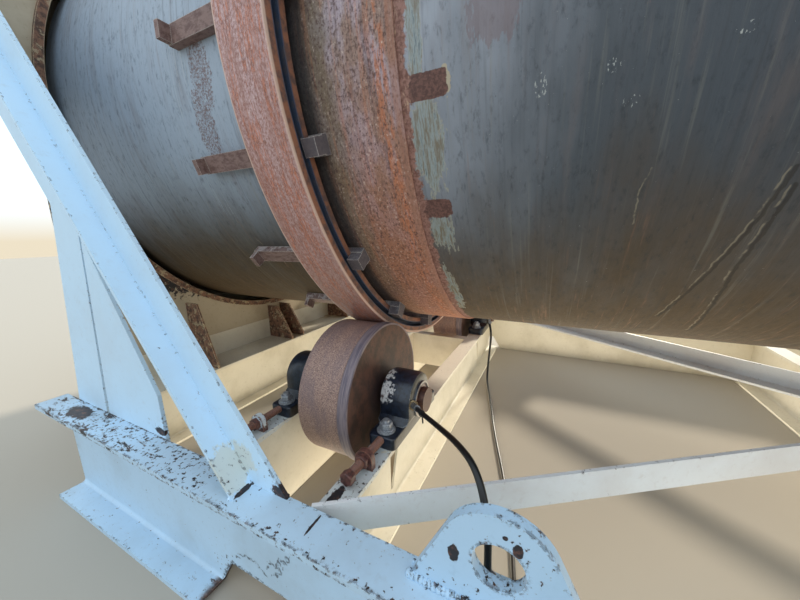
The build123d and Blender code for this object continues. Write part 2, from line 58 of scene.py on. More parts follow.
ahead = Vector((
    math.sin(view_turn) * math.cos(view_tip),
    math.cos(view_turn) * math.cos(view_tip),
    math.sin(view_tip),
))
level = Vector((math.cos(view_turn), -math.sin(view_turn), 0))
below = ahead.cross(level)
across = math.cos(view_roll) * level + math.sin(view_roll) * below
down = math.cos(view_roll) * below - math.sin(view_roll) * level
camera_data = bpy.data.cameras.new("viewpoint")
camera_data.lens = view_lens
camera_data.sensor_width = 36
camera_data.clip_start = 0.02
camera = bpy.data.objects.new("viewpoint", camera_data)
bpy.context.scene.collection.objects.link(camera)
turned = Matrix((across, -down, -ahead)).transposed()
camera.matrix_world = Matrix.Translation(view_place) @ turned.to_4x4()
bpy.context.scene.camera = camera

# Grease hoses: black rubber over a wire braid, 14 mm thick, from the grease fittings of the two
# inward pillow blocks of the left ring to the bracket on the front beam. The rear one lies on
# the ground under the drum; each is crimped into a plated ferrule where it leaves its block.


def tone(red, green, blue):
    """A colour as the eye names it, in steps of 255, turned into what a shader takes."""
    steps = [value / 255 for value in (red, green, blue)]
    return tuple(s / 12.92 if s <= 0.04045 else ((s + 0.055) / 1.055) ** 2.4 for s in steps) + (1,)


class Value:
    """What a finish works out at each place of a surface, to be summed like a number."""

    def __init__(self, socket):
        self.socket = socket

    def __add__(self, other):
        return summed("ADD", self, other)

    def __radd__(self, other):
        return summed("ADD", other, self)

    def __sub__(self, other):
        return summed("SUBTRACT", self, other)

    def __rsub__(self, other):
        return summed("SUBTRACT", other, self)

    def __mul__(self, other):
        return summed("MULTIPLY", self, other)

    def __abs__(self):
        return summed("ABSOLUTE", self, 0.0)


def fill(socket, value):
    """A value or another socket brought to a socket."""
    value = value.socket if isinstance(value, Value) else value
    if isinstance(value, bpy.types.NodeSocket):
        socket.id_data.links.new(value, socket)
    else:
        socket.default_value = value


def node(tree, kind, values=(), output=0, **settings):
    """What one node of a finish gives, from the values brought to its sockets."""
    made = tree.nodes.new("ShaderNode" + kind)
    for name, value in settings.items():
        setattr(made, name, value)
    for name, value in dict(values).items():
        fill(made.inputs[name], value)
    return made.outputs[output]


def summed(kind, first, second):
    """One sum on two values, at least one of which varies over the surface."""
    varied = first if isinstance(first, Value) else second
    return Value(node(varied.socket.id_data, "Math", {0: first, 1: second}, operation=kind))


def vector(kind, first, second=(0, 0, 0)):
    """One sum on two places."""
    return node(first.id_data, "VectorMath", {0: first, 1: second}, operation=kind)


def where(tree, mirrored=False):
    """The place on the surface; mirrored takes both ends and both sides of the unit as one."""
    here = node(tree, "TexCoord", output="Object")
    return vector("ABSOLUTE", here) if mirrored else here


def split(place, *axes):
    """The values of a place or a direction along some axes."""
    return [Value(node(place.id_data, "SeparateXYZ", {0: place}, axis)) for axis in axes]


def facing(tree, axis):
    """How far the surface faces along an axis."""
    return split(node(tree, "NewGeometry", output="Normal"), axis)[0]


def grain(tree, size, detail=5, rough=0.6, shift=(0, 0, 0), turn=(0, 0, 0)):
    """Uneven spots of a size in metres, or of three sizes along the piece's own axes."""
    sizes = size if isinstance(size, tuple) else (size, size, size)
    place = where(tree)
    if any(turn):
        place = node(tree, "Mapping", {"Vector": place, "Rotation": turn})
    scale = [1 / s for s in sizes]
    scaled = node(tree, "Mapping", {"Vector": place, "Scale": scale, "Location": shift})
    return Value(node(tree, "TexNoise", {
        "Vector": scaled, "Scale": 1.0, "Detail": detail, "Roughness": rough}))


def between(value, low, high):
    """Nothing where the value is below low, all where it is above high."""
    values = {"Value": value, "From Min": low, "From Max": high}
    return Value(node(value.socket.id_data, "MapRange", values, interpolation_type="SMOOTHSTEP"))


def coat(under, over, mask, strength=1.0):
    """One colour laid over another where the mask says, as strongly as given."""
    if strength != 1.0:
        mask = mask * strength
    under, over = [tone(*c) if isinstance(c, tuple) else c for c in (under, over)]
    return node(mask.socket.id_data, "Mix", {0: mask, 6: under, 7: over}, 2, data_type="RGBA")


def blank(name, metallic=0.0, specular=0.5):
    """A new finish with nothing but its shader; returns the finish, its tree and its shader."""
    finish = bpy.data.materials.new(name)
    finish.use_nodes = True
    shader = finish.node_tree.nodes["Principled BSDF"]
    shader.inputs["Metallic"].default_value = metallic
    shader.inputs["Specular IOR Level"].default_value = specular
    return finish, finish.node_tree, shader


def lay(shader, colour, rough, height, depth=0.001, soft=0.0):
    """Colour, roughness and relief brought to the shader; soft rounds the edges by that much."""
    fill(shader.inputs["Base Color"], colour)
    fill(shader.inputs["Roughness"], rough)
    values = {"Height": height, "Distance": depth, "Strength": 1.0}
    if soft:
        values["Normal"] = node(shader.id_data, "Bevel", {"Radius": soft}, samples=4)
    fill(shader.inputs["Normal"], node(shader.id_data, "Bump", values))


def put_down():
    """The open piece is left, with nothing selected."""
    if bpy.context.object and bpy.context.object.mode == "EDIT":
        bpy.ops.object.mode_set(mode="OBJECT")
    bpy.ops.object.select_all(action="DESELECT")


def take_up(add, **sizes):
    """A piece started from a primitive at its size and place, and opened in edit mode."""
    put_down()
    add(**sizes)
    bpy.ops.object.transform_apply(location=True, rotation=True, scale=True)
    bpy.ops.object.mode_set(mode="EDIT")
    return bpy.context.object


def upright(edge, rise):
    """Whether one end of an edge stands over the other by more than a rise."""
    return abs(edge.verts[0].co.z - edge.verts[1].co.z) > rise


def along_way(way, axis="Z", up="Y"):
    """The turn that brings an axis of a piece to a direction."""
    return Vector(way).to_track_quat(axis, up).to_matrix().to_4x4()


def pick(piece, kind, test):
    """In edit mode, selects only the faces, edges or points that pass the test."""
    bpy.ops.mesh.select_mode(type={"faces": "FACE", "edges": "EDGE", "verts": "VERT"}[kind])
    bpy.ops.mesh.select_all(action="DESELECT")
    mesh = bmesh.from_edit_mesh(piece.data)
    for part in getattr(mesh, kind):
        part.select_set(test(part))
    mesh.select_flush_mode()
    bmesh.update_edit_mesh(piece.data)


def settle(piece, name, finish, body, smooth=35):
    """A finished piece gets its name, finish, body and slot, and its place goes into its mesh."""
    put_down()
    piece.select_set(True)
    bpy.context.view_layer.objects.active = piece
    bpy.ops.object.transform_apply(location=True, rotation=True, scale=True)
    bpy.ops.object.shade_smooth_by_angle(angle=math.radians(smooth))
    piece.name = piece.data.name = name
    piece.data.materials.clear()
    piece.data.materials.append(finish)
    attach(piece, body)
    piece.select_set(False)
    return piece


hose_thick = 0.014
rubber, tree, shader = blank("hose_rubber")
hose_dust = between(facing(tree, "Z") + grain(tree, 0.02), 1.3, 2.6)
colour = coat((13, 13, 15), (60, 58, 56), hose_dust)
lay(shader, colour, 0.36, grain(tree, 0.0015, 2), 0.0002)

front_hose_route = [
    (-2.2609, -0.6926, 0.4133),
    (-2.209, -0.754, 0.436),
    (-2.127, -0.857, 0.482),
    (-2.051, -0.947, 0.516),
    (-2.003, -1.003, 0.518),
    (-1.974, -1.044, 0.468),
    (-1.969, -1.056, 0.408),
    (-1.969, -1.056, 0.352),
]
rear_hose_route = [
    (-2.2727, 0.5331, 0.3716),
    (-2.254, 0.524, 0.306),
    (-2.255, 0.513, 0.225),
    (-2.259, 0.499, 0.140),
    (-2.259, 0.472, 0.068),
    (-2.251, 0.424, 0.021),
    (-2.232, 0.350, 0.008),
    (-2.201, 0.240, 0.0075),
    (-2.161, 0.090, 0.0075),
    (-2.124, -0.058, 0.0075),
    (-2.085, -0.195, 0.0075),
    (-2.046, -0.322, 0.0075),
    (-2.008, -0.455, 0.0075),
    (-1.974, -0.595, 0.0075),
    (-1.947, -0.735, 0.0075),
    (-1.930, -0.855, 0.008),
    (-1.922, -0.945, 0.014),
    (-1.920, -1.002, 0.045),
    (-1.923, -1.035, 0.105),
    (-1.929, -1.050, 0.180),
    (-1.935, -1.057, 0.262),
    (-1.935, -1.057, 0.344),
]


def hose_along(name, route, thick):
    """A round hose on one smooth curve through its way."""
    line = bpy.data.curves.new(name, "CURVE")
    line.dimensions = "3D"
    way = line.splines.new("NURBS")
    way.points.add(len(route) - 1)
    for point, place in zip(way.points, route):
        point.co = (*place, 1)
    way.order_u = 3
    way.use_endpoint_u = True
    way.resolution_u = 8
    line.bevel_depth = thick / 2
    line.bevel_resolution = 3
    line.use_fill_caps = True
    made = bpy.data.objects.new(name, line)
    bpy.context.scene.collection.objects.link(made)
    return made


plated, tree, shader = blank("plated_fitting", metallic=0.7)
plated_grain = grain(tree, 0.004, 4)
colour = coat((150, 152, 156), (92, 88, 84), between(plated_grain, 0.45, 0.62))
lay(shader, colour, 0.42, plated_grain, 0.0002)
brass, tree, shader = blank("old_brass", metallic=0.75)
brass_grain = grain(tree, 0.003, 4)
colour = coat((158, 138, 104), (96, 76, 56), between(brass_grain, 0.42, 0.58))
lay(shader, colour, 0.4, brass_grain, 0.0002)

boss_length = 0.034
ferrule_r = 0.0108
ferrule_over = 0.018     # how far the ferrule runs on over the hose
crimps = 7


def ferrule(name, hose_start, hose_next):
    """A crimped sleeve from the block's face to just past the end of the hose."""
    way = (Vector(hose_next) - Vector(hose_start)).normalized()
    sleeve = boss_length + ferrule_over
    piece = take_up(bpy.ops.mesh.primitive_cylinder_add, vertices=24, radius=ferrule_r, depth=sleeve)
    pick(piece, "edges", lambda edge: upright(edge, sleeve / 2))
    bpy.ops.mesh.subdivide(number_cuts=2 * crimps)
    step = sleeve / (2 * crimps + 1)
    for crimp in range(crimps):
        height = -sleeve / 2 + (2 * crimp + 1.5) * step
        pick(piece, "verts", lambda point: abs(point.co.z - height) < step)
        bpy.ops.transform.resize(value=(0.9, 0.9, 1), center_override=(0, 0, 0))
    put_down()
    middle = Vector(hose_start) + way * (ferrule_over - boss_length) / 2
    piece.data.transform(Matrix.Translation(middle) @ along_way(way))
    return settle(piece, name, plated, "frame")


def hex_nut(name, place, way, across_flats, height, finish):
    """A chamfered hexagon with a washer face, its middle at a place."""
    corner_r = across_flats / math.sqrt(3)
    piece = take_up(bpy.ops.mesh.primitive_cylinder_add, vertices=6, radius=corner_r, depth=height)
    pick(piece, "faces", lambda face: abs(face.normal.z) > 0.9)
    bpy.ops.mesh.inset(thickness=across_flats * 0.07)
    pick(piece, "verts", lambda point: math.hypot(point.co.x, point.co.y) > across_flats * 0.56)
    bpy.ops.transform.resize(value=(1, 1, 0.86), center_override=(0, 0, 0))
    pick(piece, "edges", lambda edge: True)
    bpy.ops.mesh.bevel(offset=across_flats * 0.02, segments=2)
    put_down()
    piece.data.transform(Matrix.Translation(Vector(place)) @ along_way(way))
    return settle(piece, name, finish, "frame")


collar_out = 0.006       # from the block's face to the middle of the collar
end_nut_height = 0.016
for side, route in (("front", front_hose_route), ("rear", rear_hose_route)):
    hose = hose_along(side + "_hose", route, hose_thick)
    hose.data.materials.append(rubber)
    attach(hose, "frame")
    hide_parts(side + "_grease_hose")
    sleeve = ferrule(side + "_hose_ferrule", route[0], route[1])
    leaves = (Vector(route[1]) - Vector(route[0])).normalized()
    collar_place = Vector(route[0]) - leaves * (boss_length - collar_out)
    collar = hex_nut(side + "_hose_collar", collar_place, leaves, 0.030, 0.010, brass)
    ends_up = 1 if side == "front" else -1
    nut_place = Vector(route[-1]) + Vector((0, 0, ends_up * end_nut_height / 2))
    end_nut = hex_nut(
        side + "_hose_end_nut", nut_place, (0, 0, 1), 0.027, end_nut_height, plated)

# Zip tie on the front hose: a black nylon strap round it with the tail left on, a hand's width
# from the block.


def join(*pieces):
    """Several pieces made one, the first."""
    put_down()
    for piece in pieces:
        piece.select_set(True)
    bpy.context.view_layer.objects.active = pieces[0]
    bpy.ops.object.join()
    return pieces[0]


tie_place = Vector((-2.2180, -0.7430, 0.4310))
tie_way = (Vector(front_hose_route[2]) - Vector(front_hose_route[1])).normalized()
tie_tail, tie_wide, tie_thick = 0.020, 0.004, 0.0018
tie_strap_r, tie_over = 0.0016, 0.0012
tie_head = 0.002         # how far the tail's broad end stands in past the strap
tie = take_up(
    bpy.ops.mesh.primitive_torus_add, major_radius=hose_thick / 2 + tie_over,
    minor_radius=tie_strap_r, major_segments=28, minor_segments=8)
tail = take_up(
    bpy.ops.mesh.primitive_cube_add, size=1, location=(0, -(hose_thick + tie_tail) / 2, 0),
    scale=(tie_wide, tie_tail, tie_thick))
pick(tail, "faces", lambda face: face.normal.y > 0.9)
bpy.ops.mesh.extrude_region_move(TRANSFORM_OT_translate={"value": (0, tie_head, 0)})
bpy.ops.transform.resize(value=(1.6, 1, 2.4))
join(tie, tail)
tie.data.transform(Matrix.Translation(tie_place) @ along_way(tie_way))
settle(tie, "hose_tie", rubber, "frame")

# Drum shell: rolled 12 mm plate in heat-proof paint, blue-grey above from painted sky light and
# brown below from painted warm light off the ground, with rust creeping out from the wrapper
# bands and pale places where the paint peeled.

shell_r = 0.89
drum_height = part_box("drum_shell")[0][2] + shell_r
ring_place = 2.525       # from the middle of the drum to the middle of each ring
band_in = 0.308          # how far a wrapper band reaches past that towards the drum's middle
band_out = 0.060         # and towards its end


def most(*values):
    """The greatest of some values."""
    greatest = values[0]
    for value in values[1:]:
        greatest = summed("MAXIMUM", greatest, value)
    return greatest


def length(place):
    """How far a place is from the origin."""
    return Value(node(place.id_data, "VectorMath", {0: place}, "Value", operation="LENGTH"))


def patches(tree, places, ragged=0.6, spots=0.02, square=False, mirrored=False):
    """Ragged patches, each given by its middle and its reach along each axis."""
    here = where(tree, mirrored)
    edge = (grain(tree, spots, 6, 0.7) - 0.5) * (ragged * 2)
    masks = []
    for place, reach in places:
        part = vector("DIVIDE", vector("SUBTRACT", here, place), reach)
        if square:
            part = vector("MULTIPLY", part, part)
            part = vector("MULTIPLY", part, part)
        masks.append(between(1.0 - length(part) + edge, 0.0, 0.12))
    return most(*masks)


def scratches(tree, ways, thick, mirrored=False, depth=1.0, waver=0.03):
    """Thin wavering lines through the places of each way; depth counts distance along y less."""
    here = where(tree, mirrored)
    scaled = node(tree, "Mapping", {"Vector": here, "Scale": (12, 12, 12)})
    swing = node(tree, "TexNoise", {"Vector": scaled, "Detail": 1.0}, "Color")
    swing = vector("SUBTRACT", swing, (0.5, 0.5, 0.5))
    swing = node(tree, "VectorMath", {0: swing, "Scale": waver}, operation="SCALE")
    here = vector("MULTIPLY", vector("ADD", here, swing), (1, depth, 1))
    masks = []
    for way in ways:
        way = [Vector((x, y * depth, z)) for x, y, z in way]
        for first, last in zip(way, way[1:]):
            run = last - first
            away = vector("SUBTRACT", here, first)
            values = {0: away, 1: run / run.length_squared}
            share = node(tree, "VectorMath", values, "Value", operation="DOT_PRODUCT")
            share = node(tree, "Clamp", {"Value": share})
            reached = node(tree, "VectorMath", {0: run, "Scale": share}, operation="SCALE")
            masks.append(between(length(vector("SUBTRACT", away, reached)), thick, thick * 0.4))
    return most(*masks)


def dress(finish, *names):
    """The finish given to every surface of these nodes."""
    for name in names:
        for slot_place in nodes[name].material_slots:
            slot_place.link = "OBJECT"
            slot_place.material = finish


def place_of(tree):
    """Distance from the middle of the drum along it, and height above the ground."""
    along, up = split(where(tree), "X", "Z")
    return abs(along), up


shell_paint, tree, shader = blank("shell_paint", specular=0.35)
along, up = place_of(tree)
uneven = grain(tree, (0.2, 0.5, 0.5), 4) - 0.5
near_ring = between(along + uneven * 0.7, 1.80, 2.25)
colour = coat((60, 67, 77), (76, 82, 89), between(along, 1.3, 1.95))
# Painted sky light: the upper shell towards each ring is made pale blue-grey.
colour = coat(colour, (160, 166, 177), near_ring * between(up, 0.70, 1.32))
# Painted sky reflection: the shell past each ring, towards its end, is made pale blue.
past_ring = between(along, ring_place, ring_place + 0.01)
colour = coat(colour, (158, 171, 186), past_ring)
# Painted shade: past each ring the shell is made darker and browner towards the bottom.
past_ring_low_shade = past_ring * between(up, 1.20, 0.84)
colour = coat(colour, (62, 58, 50), past_ring_low_shade, 0.9)
dusty_runs = between(grain(tree, (0.05, 0.35, 0.35), 6, 0.65, (2, 8, 5)), 0.5, 0.72)
colour = coat(colour, (112, 100, 98), dusty_runs, 0.35)
# Painted warm reflection of the ground: the shell is made brown towards the bottom; the same mask also
# places the warm runs and the roughness.
low_edge = up + grain(tree, (0.12, 0.3, 0.3), 5) * 0.5
low_side = between(low_edge, 1.42, 0.92)
colour = coat(colour, (78, 60, 34), low_side, 0.93)
mottle = grain(tree, (0.012, 0.03, 0.03), 5, 0.72, (1, 4, 2))
colour = coat(colour, (44, 48, 54), between(mottle, 0.5, 0.75), 0.55)
round_streaks = grain(tree, (0.012, 0.45, 0.45), 4, 0.62)
colour = coat(colour, (50, 52, 54), between(round_streaks, 0.52, 0.8), 0.4)
colour = coat(colour, (136, 134, 124), between(round_streaks, 0.44, 0.26), 0.25)
warm_runs = grain(tree, (0.010, 0.20, 0.20), 4, 0.7, (5, 5, 1))
warm_side = most(low_side, near_ring * 0.5)
colour = coat(colour, (128, 96, 74), between(warm_runs, 0.56, 0.74) * warm_side, 0.6)
fine_grit = grain(tree, 0.003, 3, 0.6, (9, 2, 4))
colour = coat(colour, (206, 206, 200), between(fine_grit, 0.735, 0.77), 0.8)
colour = coat(colour, (34, 38, 46), between(fine_grit, 0.3, 0.25), 0.5)

pale_peel = patches(tree, [
    ((-2.165, -0.866, 1.110), (0.040, 0.14, 0.110)),
    ((-2.176, -0.880, 1.330), (0.016, 0.12, 0.120)),
    ((-2.165, -0.770, 0.935), (0.034, 0.10, 0.070)),
    ((-2.186, -0.560, 0.760), (0.022, 0.16, 0.100)),
], 1.0, (0.014, 0.04, 0.04))
peel_streaks = grain(tree, (0.006, 0.05, 0.05), 6, 0.75, (3, 1, 7))
peel_colour = coat((148, 158, 156), (120, 108, 86), between(peel_streaks, 0.46, 0.60))
peel_colour = coat(peel_colour, (78, 94, 104), between(peel_streaks, 0.45, 0.36))
colour = coat(colour, peel_colour, pale_peel, 0.8)
peel_rim = pale_peel * (1.0 - pale_peel) * 3.0
colour = coat(colour, (176, 170, 148), peel_rim, 0.7)
stain_lips = patches(tree, [
    ((-2.118, -0.859, 1.222), (0.010, 0.03, 0.026)),
    ((-2.134, -0.800, 0.985), (0.008, 0.04, 0.034)),
], 0.7, 0.010)
colour = coat(colour, (186, 170, 140), stain_lips, 0.75)
stains = patches(tree, [
    ((-2.162, -0.859, 1.220), (0.048, 0.04, 0.023)),
    ((-2.176, -0.800, 0.985), (0.046, 0.05, 0.030)),
], 0.55, 0.010, square=True)
stain_colour = coat((112, 80, 72), (84, 58, 54), between(grain(tree, 0.006, 4, 0.7), 0.4, 0.6))
colour = coat(colour, stain_colour, stains)
dull_spots = patches(tree, [
    ((-2.030, -0.876, 1.300), (0.045, 0.05, 0.05)),
    ((-1.800, -0.876, 1.320), (0.030, 0.05, 0.06)),
    ((-2.050, -0.876, 1.420), (0.040, 0.05, 0.05)),
], 1.0, (0.012, 0.05, 0.05))
colour = coat(colour, (118, 92, 92), dull_spots, 0.45)
bar_run = patches(tree, [
    ((-2.795, -0.89, 1.37), (0.042, 0.12, 0.10)),
    ((-2.825, -0.87, 1.25), (0.040, 0.12, 0.10)),
], 0.5, 0.012)
bar_run = bar_run * between(grain(tree, 0.006, 4, 0.7), 0.42, 0.6)
colour = coat(colour, (110, 84, 80), bar_run, 0.85)
drip_lines = between(grain(tree, (0.004, 0.4, 0.4), 4, 0.6, (4, 9, 1)), 0.56, 0.68)
drips = drip_lines * patches(tree, [((-2.90, -0.87, 1.25), (0.07, 0.3, 0.28))], 0.4)
colour = coat(colour, (176, 182, 184), drips, 0.7)
long_scratches = [
    [(-1.588, -0.781, 1.025), (-1.602, -0.730, 0.941), (-1.645, -0.576, 0.772),
     (-1.660, -0.504, 0.718)],
    [(-1.578, -0.767, 1.000), (-1.591, -0.661, 0.855), (-1.569, -0.424, 0.668)],
]
short_scratches = [
    [(-1.766, -0.789, 1.039), (-1.778, -0.772, 1.008), (-1.775, -0.733, 0.947)],
    [(-2.900, -0.780, 1.020), (-2.790, -0.640, 0.830)],
]
in_line = 0.05           # how much of the shell's own depth counts in a scratch
dark_lines = scratches(tree, long_scratches, 0.0045, depth=in_line, waver=0.007)
colour = coat(colour, (36, 30, 24), dark_lines, 0.62)
beside = [[(x - 0.006, y, z) for x, y, z in way] for way in long_scratches] + short_scratches
fine_line = scratches(tree, beside, 0.0020, depth=in_line, waver=0.007)
broken = between(grain(tree, 0.03, 3, 0.6, (7, 7, 7)), 0.42, 0.56)
colour = coat(colour, (150, 140, 120), fine_line * broken, 0.5)
flecks = patches(tree, [
    ((-1.950, -0.848, 1.180), (0.010, 0.02, 0.022)),
    ((-1.844, -0.851, 1.190), (0.012, 0.02, 0.010)),
    ((-1.813, -0.834, 1.140), (0.012, 0.02, 0.010)),
    ((-1.693, -0.854, 1.201), (0.012, 0.02, 0.008)),
], 0.8, 0.010)
flecks = flecks * between(grain(tree, (0.003, 0.007, 0.007), 3), 0.58, 0.62)
colour = coat(colour, (196, 198, 194), flecks, 0.65)
edge_noise = grain(tree, 0.05, 7, 0.78, (6, 2, 2)) - 0.5
from_edge = along + edge_noise * 0.075
band_edge = ring_place - band_in
from_band = between(from_edge, band_edge - 0.024, band_edge - 0.020)
past_band = between(along, ring_place + band_out + 0.01, ring_place + band_out)
rust_creep = from_band * past_band
creep_colour = coat((148, 110, 100), (112, 76, 66), between(grain(tree, 0.008, 6, 0.72), 0.42, 0.6))
creep_colour = coat(creep_colour, (182, 150, 128), between(mottle, 0.42, 0.32))
colour = coat(colour, creep_colour, rust_creep)
shell_rough = 0.36 + mottle * 0.3 + low_side * 0.25
lay(shader, colour, shell_rough, mottle + round_streaks, 0.0011)
dress(shell_paint, "drum_shell")

# Shell welds: the rings of plate are butted and welded round the drum, and each is closed by
# one long seam; a finer weld runs round both edges of each wrapper band.

quarter = math.pi / 2
weld_seed = random.Random(41)
ripple_points = 8        # round each ripple of a weld


def uneven_weld(piece, per_ripple, reach):
    """Each ripple of a weld pushed a little out of line."""
    push = Vector()
    for number, point in enumerate(piece.data.vertices):
        if number % per_ripple == 0:
            push = Vector([weld_seed.uniform(-reach, reach) for axis in range(3)])
        point.co += push


def round_weld(name, place, radius, size, finish):
    """A weld round the drum at a place along it."""
    piece = take_up(
        bpy.ops.mesh.primitive_torus_add, major_radius=radius, minor_radius=size / 2,
        major_segments=360, minor_segments=ripple_points,
        location=(place, 0, drum_height), rotation=(0, quarter, 0))
    put_down()
    uneven_weld(piece, ripple_points, size * 0.09)
    return settle(piece, name, finish, "drum", 60)


def repeat(piece, count, step, merge=0.0):
    """A piece repeated in a row, and its ends merged where they are nearer than merge."""
    row = piece.modifiers.new("row", "ARRAY")
    row.count = count
    row.use_relative_offset = False
    row.use_constant_offset = True
    row.constant_offset_displace = step
    row.use_merge_vertices = merge > 0
    row.merge_threshold = merge
    bpy.ops.object.modifier_apply(modifier="row")


def straight_weld(name, start, end, size, finish, body="frame"):
    """A run of weld laid from one place to another as overlapping ripples."""
    start, run = Vector(start), Vector(end) - Vector(start)
    pitch = size * 0.45
    piece = take_up(bpy.ops.mesh.primitive_uv_sphere_add, segments=10, ring_count=6, radius=size / 2)
    bpy.ops.transform.resize(value=(0.75, 1, 1))
    put_down()
    per_ripple = len(piece.data.vertices)
    repeat(piece, max(2, round(run.length / pitch)), (pitch, 0, 0))
    uneven_weld(piece, per_ripple, size * 0.06)
    piece.data.transform(Matrix.Translation(start) @ along_way(run, "X", "Z"))
    return settle(piece, name, finish, body, 60)


seam_places = {"left": -1.22, "middle": 0.0, "right": 1.22}
seam_turns = (35, 150, 250, 95)
seam_size = 0.011
seam_r = 0.8905
shell_end = 3.60
plate_edges = [-shell_end, *seam_places.values(), shell_end]
for name, place in seam_places.items():
    round_weld(f"shell_{name}_seam", place, seam_r, seam_size, shell_paint)
for number, (first, last, turn) in enumerate(zip(plate_edges, plate_edges[1:], seam_turns)):
    run_y = seam_r * math.cos(math.radians(turn))
    run_z = drum_height + seam_r * math.sin(math.radians(turn))
    straight_weld(
        f"shell_long_seam_{number + 1}", (first, run_y, run_z), (last, run_y, run_z), seam_size,
        shell_paint, "drum")

# Wrapper bands: 6 mm plate rolled onto the shell under each ring. Bare, so the whole band is brown
# scale with orange runs and bright pits, olive towards the ring with painted shade darkening it
# there and a near-black painted shadow of the ring right beside it.

band_scale, tree, shader = blank("band_scale", specular=0.35)
along, up = place_of(tree)
broad = between(grain(tree, (0.05, 0.12, 0.12), 5, 0.6), 0.4, 0.6)
colour = coat((180, 166, 176), (156, 132, 122), broad)
colour = coat(colour, (166, 108, 78), between(up, 1.4, 0.85), 0.8)
# Olive scale and painted shade: the band is made greener and darker towards the ring.
olive_shade_toward_ring = between(along + grain(tree, 0.06) * 0.08, 2.37, 2.44)
colour = coat(colour, (116, 108, 88), olive_shade_toward_ring, 0.7)
shaded_streaks = between(grain(tree, (0.02, 0.2, 0.2), 6, 0.7, (1, 3, 5)), 0.5, 0.66)
colour = coat(colour, (98, 80, 84), shaded_streaks, 0.5)
orange_place = 2.253     # where the strongest orange line runs round each band
orange = between(grain(tree, (0.016, 0.3, 0.3), 6, 0.75, (4, 4, 4)), 0.5, 0.62)
orange_line = between(abs(along - orange_place), 0.024, 0.010)
line_breaks = between(grain(tree, (0.01, 0.06, 0.06), 6, 0.7), 0.45, 0.56)
low_orange = between(up + grain(tree, 0.1) * 0.4, 1.15, 0.75)
orange = most(orange * 0.35, orange_line * line_breaks * 0.8, low_orange * 0.4)
colour = coat(colour, (190, 118, 82), orange)
mottle = grain(tree, (0.006, 0.009, 0.009), 6, 0.78)
colour = coat(colour, (86, 62, 58), between(mottle, 0.50, 0.60), 0.8)
colour = coat(colour, (216, 196, 184), between(mottle, 0.425, 0.34), 0.85)
at_edge = between(along, band_edge + 0.016, band_edge + 0.010)
colour = coat(colour, (160, 116, 98), at_edge, 0.5)
# Painted shadow of the ring: the band is made near black right beside it.
in_shade = between(along, 2.405, 2.445)
colour = coat(colour, (30, 33, 40), in_shade, 0.85)
lay(shader, colour, 0.72, mottle, 0.0022)
dress(band_scale, "left_wrapper_band", "right_wrapper_band")
band_weld_r, band_weld_size = 0.8925, 0.007
ends = (("left", -1), ("right", 1))
for end, sign in ends:
    for edge, place in (("inner", band_edge), ("outer", ring_place + band_out)):
        round_weld(
            f"{end}_band_{edge}_weld", sign * place, band_weld_r, band_weld_size, band_scale)

# Riding rings: rolled rail sections bent to a hoop and welded end to end. The tread is
# burnished pink-brown with cracks and orange runs along it; the sides and groove stay dark.

ring_rust, tree, shader = blank("ring_rust", specular=0.4)
values = {"Vector": where(tree), "Location": (0, 0, -drum_height), "Scale": (0, 1, 1)}
outward = length(node(tree, "Mapping", values))
along, up = place_of(tree)
tread_grain = grain(tree, (0.005, 0.008, 0.008), 6, 0.78)
tread_colour = coat((196, 165, 165), (150, 108, 100), between(tread_grain, 0.44, 0.6))
tread_colour = coat(tread_colour, (224, 208, 204), between(tread_grain, 0.41, 0.33))
broad_runs = grain(tree, (0.03, 0.4, 0.4), 5, 0.65, (5, 5, 1))
tread_colour = coat(tread_colour, (156, 108, 94), between(broad_runs, 0.48, 0.66), 0.5)
tread_low = between(up + grain(tree, 0.2) * 0.5, 1.7, 1.0)
tread_colour = coat(tread_colour, (150, 104, 84), tread_low, 0.45)
tread_lines = grain(tree, (0.022, 0.30, 0.30), 6, 0.72, (7, 1, 2))
off_line = abs(tread_lines - 0.5)
tread_colour = coat(tread_colour, (200, 122, 88), between(off_line, 0.018, 0.008), 0.85)
dark_line = abs(tread_lines - 0.516)
tread_colour = coat(tread_colour, (98, 58, 48), between(dark_line, 0.010, 0.004), 0.8)
ring_r, groove_r, ring_half = 0.980, 0.944, 0.0715
on_tread = between(outward, ring_r - 0.006, ring_r - 0.002)
side_grain = grain(tree, (0.02, 0.03, 0.03), 6, 0.72, (3, 3, 3))
side_colour = coat((138, 92, 70), (92, 70, 64), between(side_grain, 0.42, 0.6))
side_colour = coat(side_colour, (160, 120, 86), between(side_grain, 0.38, 0.3), 0.7)
groove = between(outward, groove_r - 0.015, groove_r - 0.009) * between(
    outward, groove_r + 0.014, groove_r + 0.009)
groove_colour = coat((58, 70, 92), (82, 78, 84), between(side_grain, 0.45, 0.65))
side_colour = coat(side_colour, groove_colour, groove)
colour = coat(side_colour, tread_colour, on_tread)
near_edge = between(abs(along - ring_place), ring_half - 0.005, ring_half - 0.001)
worn_line = near_edge * between(outward, ring_r - 0.010, ring_r - 0.0055)
colour = coat(colour, (214, 186, 170), worn_line, 0.8)
lay(shader, colour, 0.55, tread_grain, 0.0012)
dress(ring_rust, "left_riding_ring", "right_riding_ring")

# Lug bars: flat bars welded on the shell that carry each ring clear of it, with stops that keep
# the ring from walking. Brown scale, with paint still flaking off their upper faces.


def sharpness(tree, reach, full):
    """How near the surface is to a sharp edge, from nothing to all."""
    rounded = node(tree, "Bevel", {"Radius": reach}, samples=4)
    values = {0: rounded, 1: node(tree, "NewGeometry", output="Normal")}
    same = Value(node(tree, "VectorMath", values, "Value", operation="DOT_PRODUCT"))
    return between(1.0 - same, 0.0, full)


def edge_wear(tree, reach, spots, low=0.3, high=0.4):
    """Where an edge has worn bare, broken up by spots."""
    return between(sharpness(tree, reach, 0.28) * grain(tree, spots, 6, 0.7), low, high)


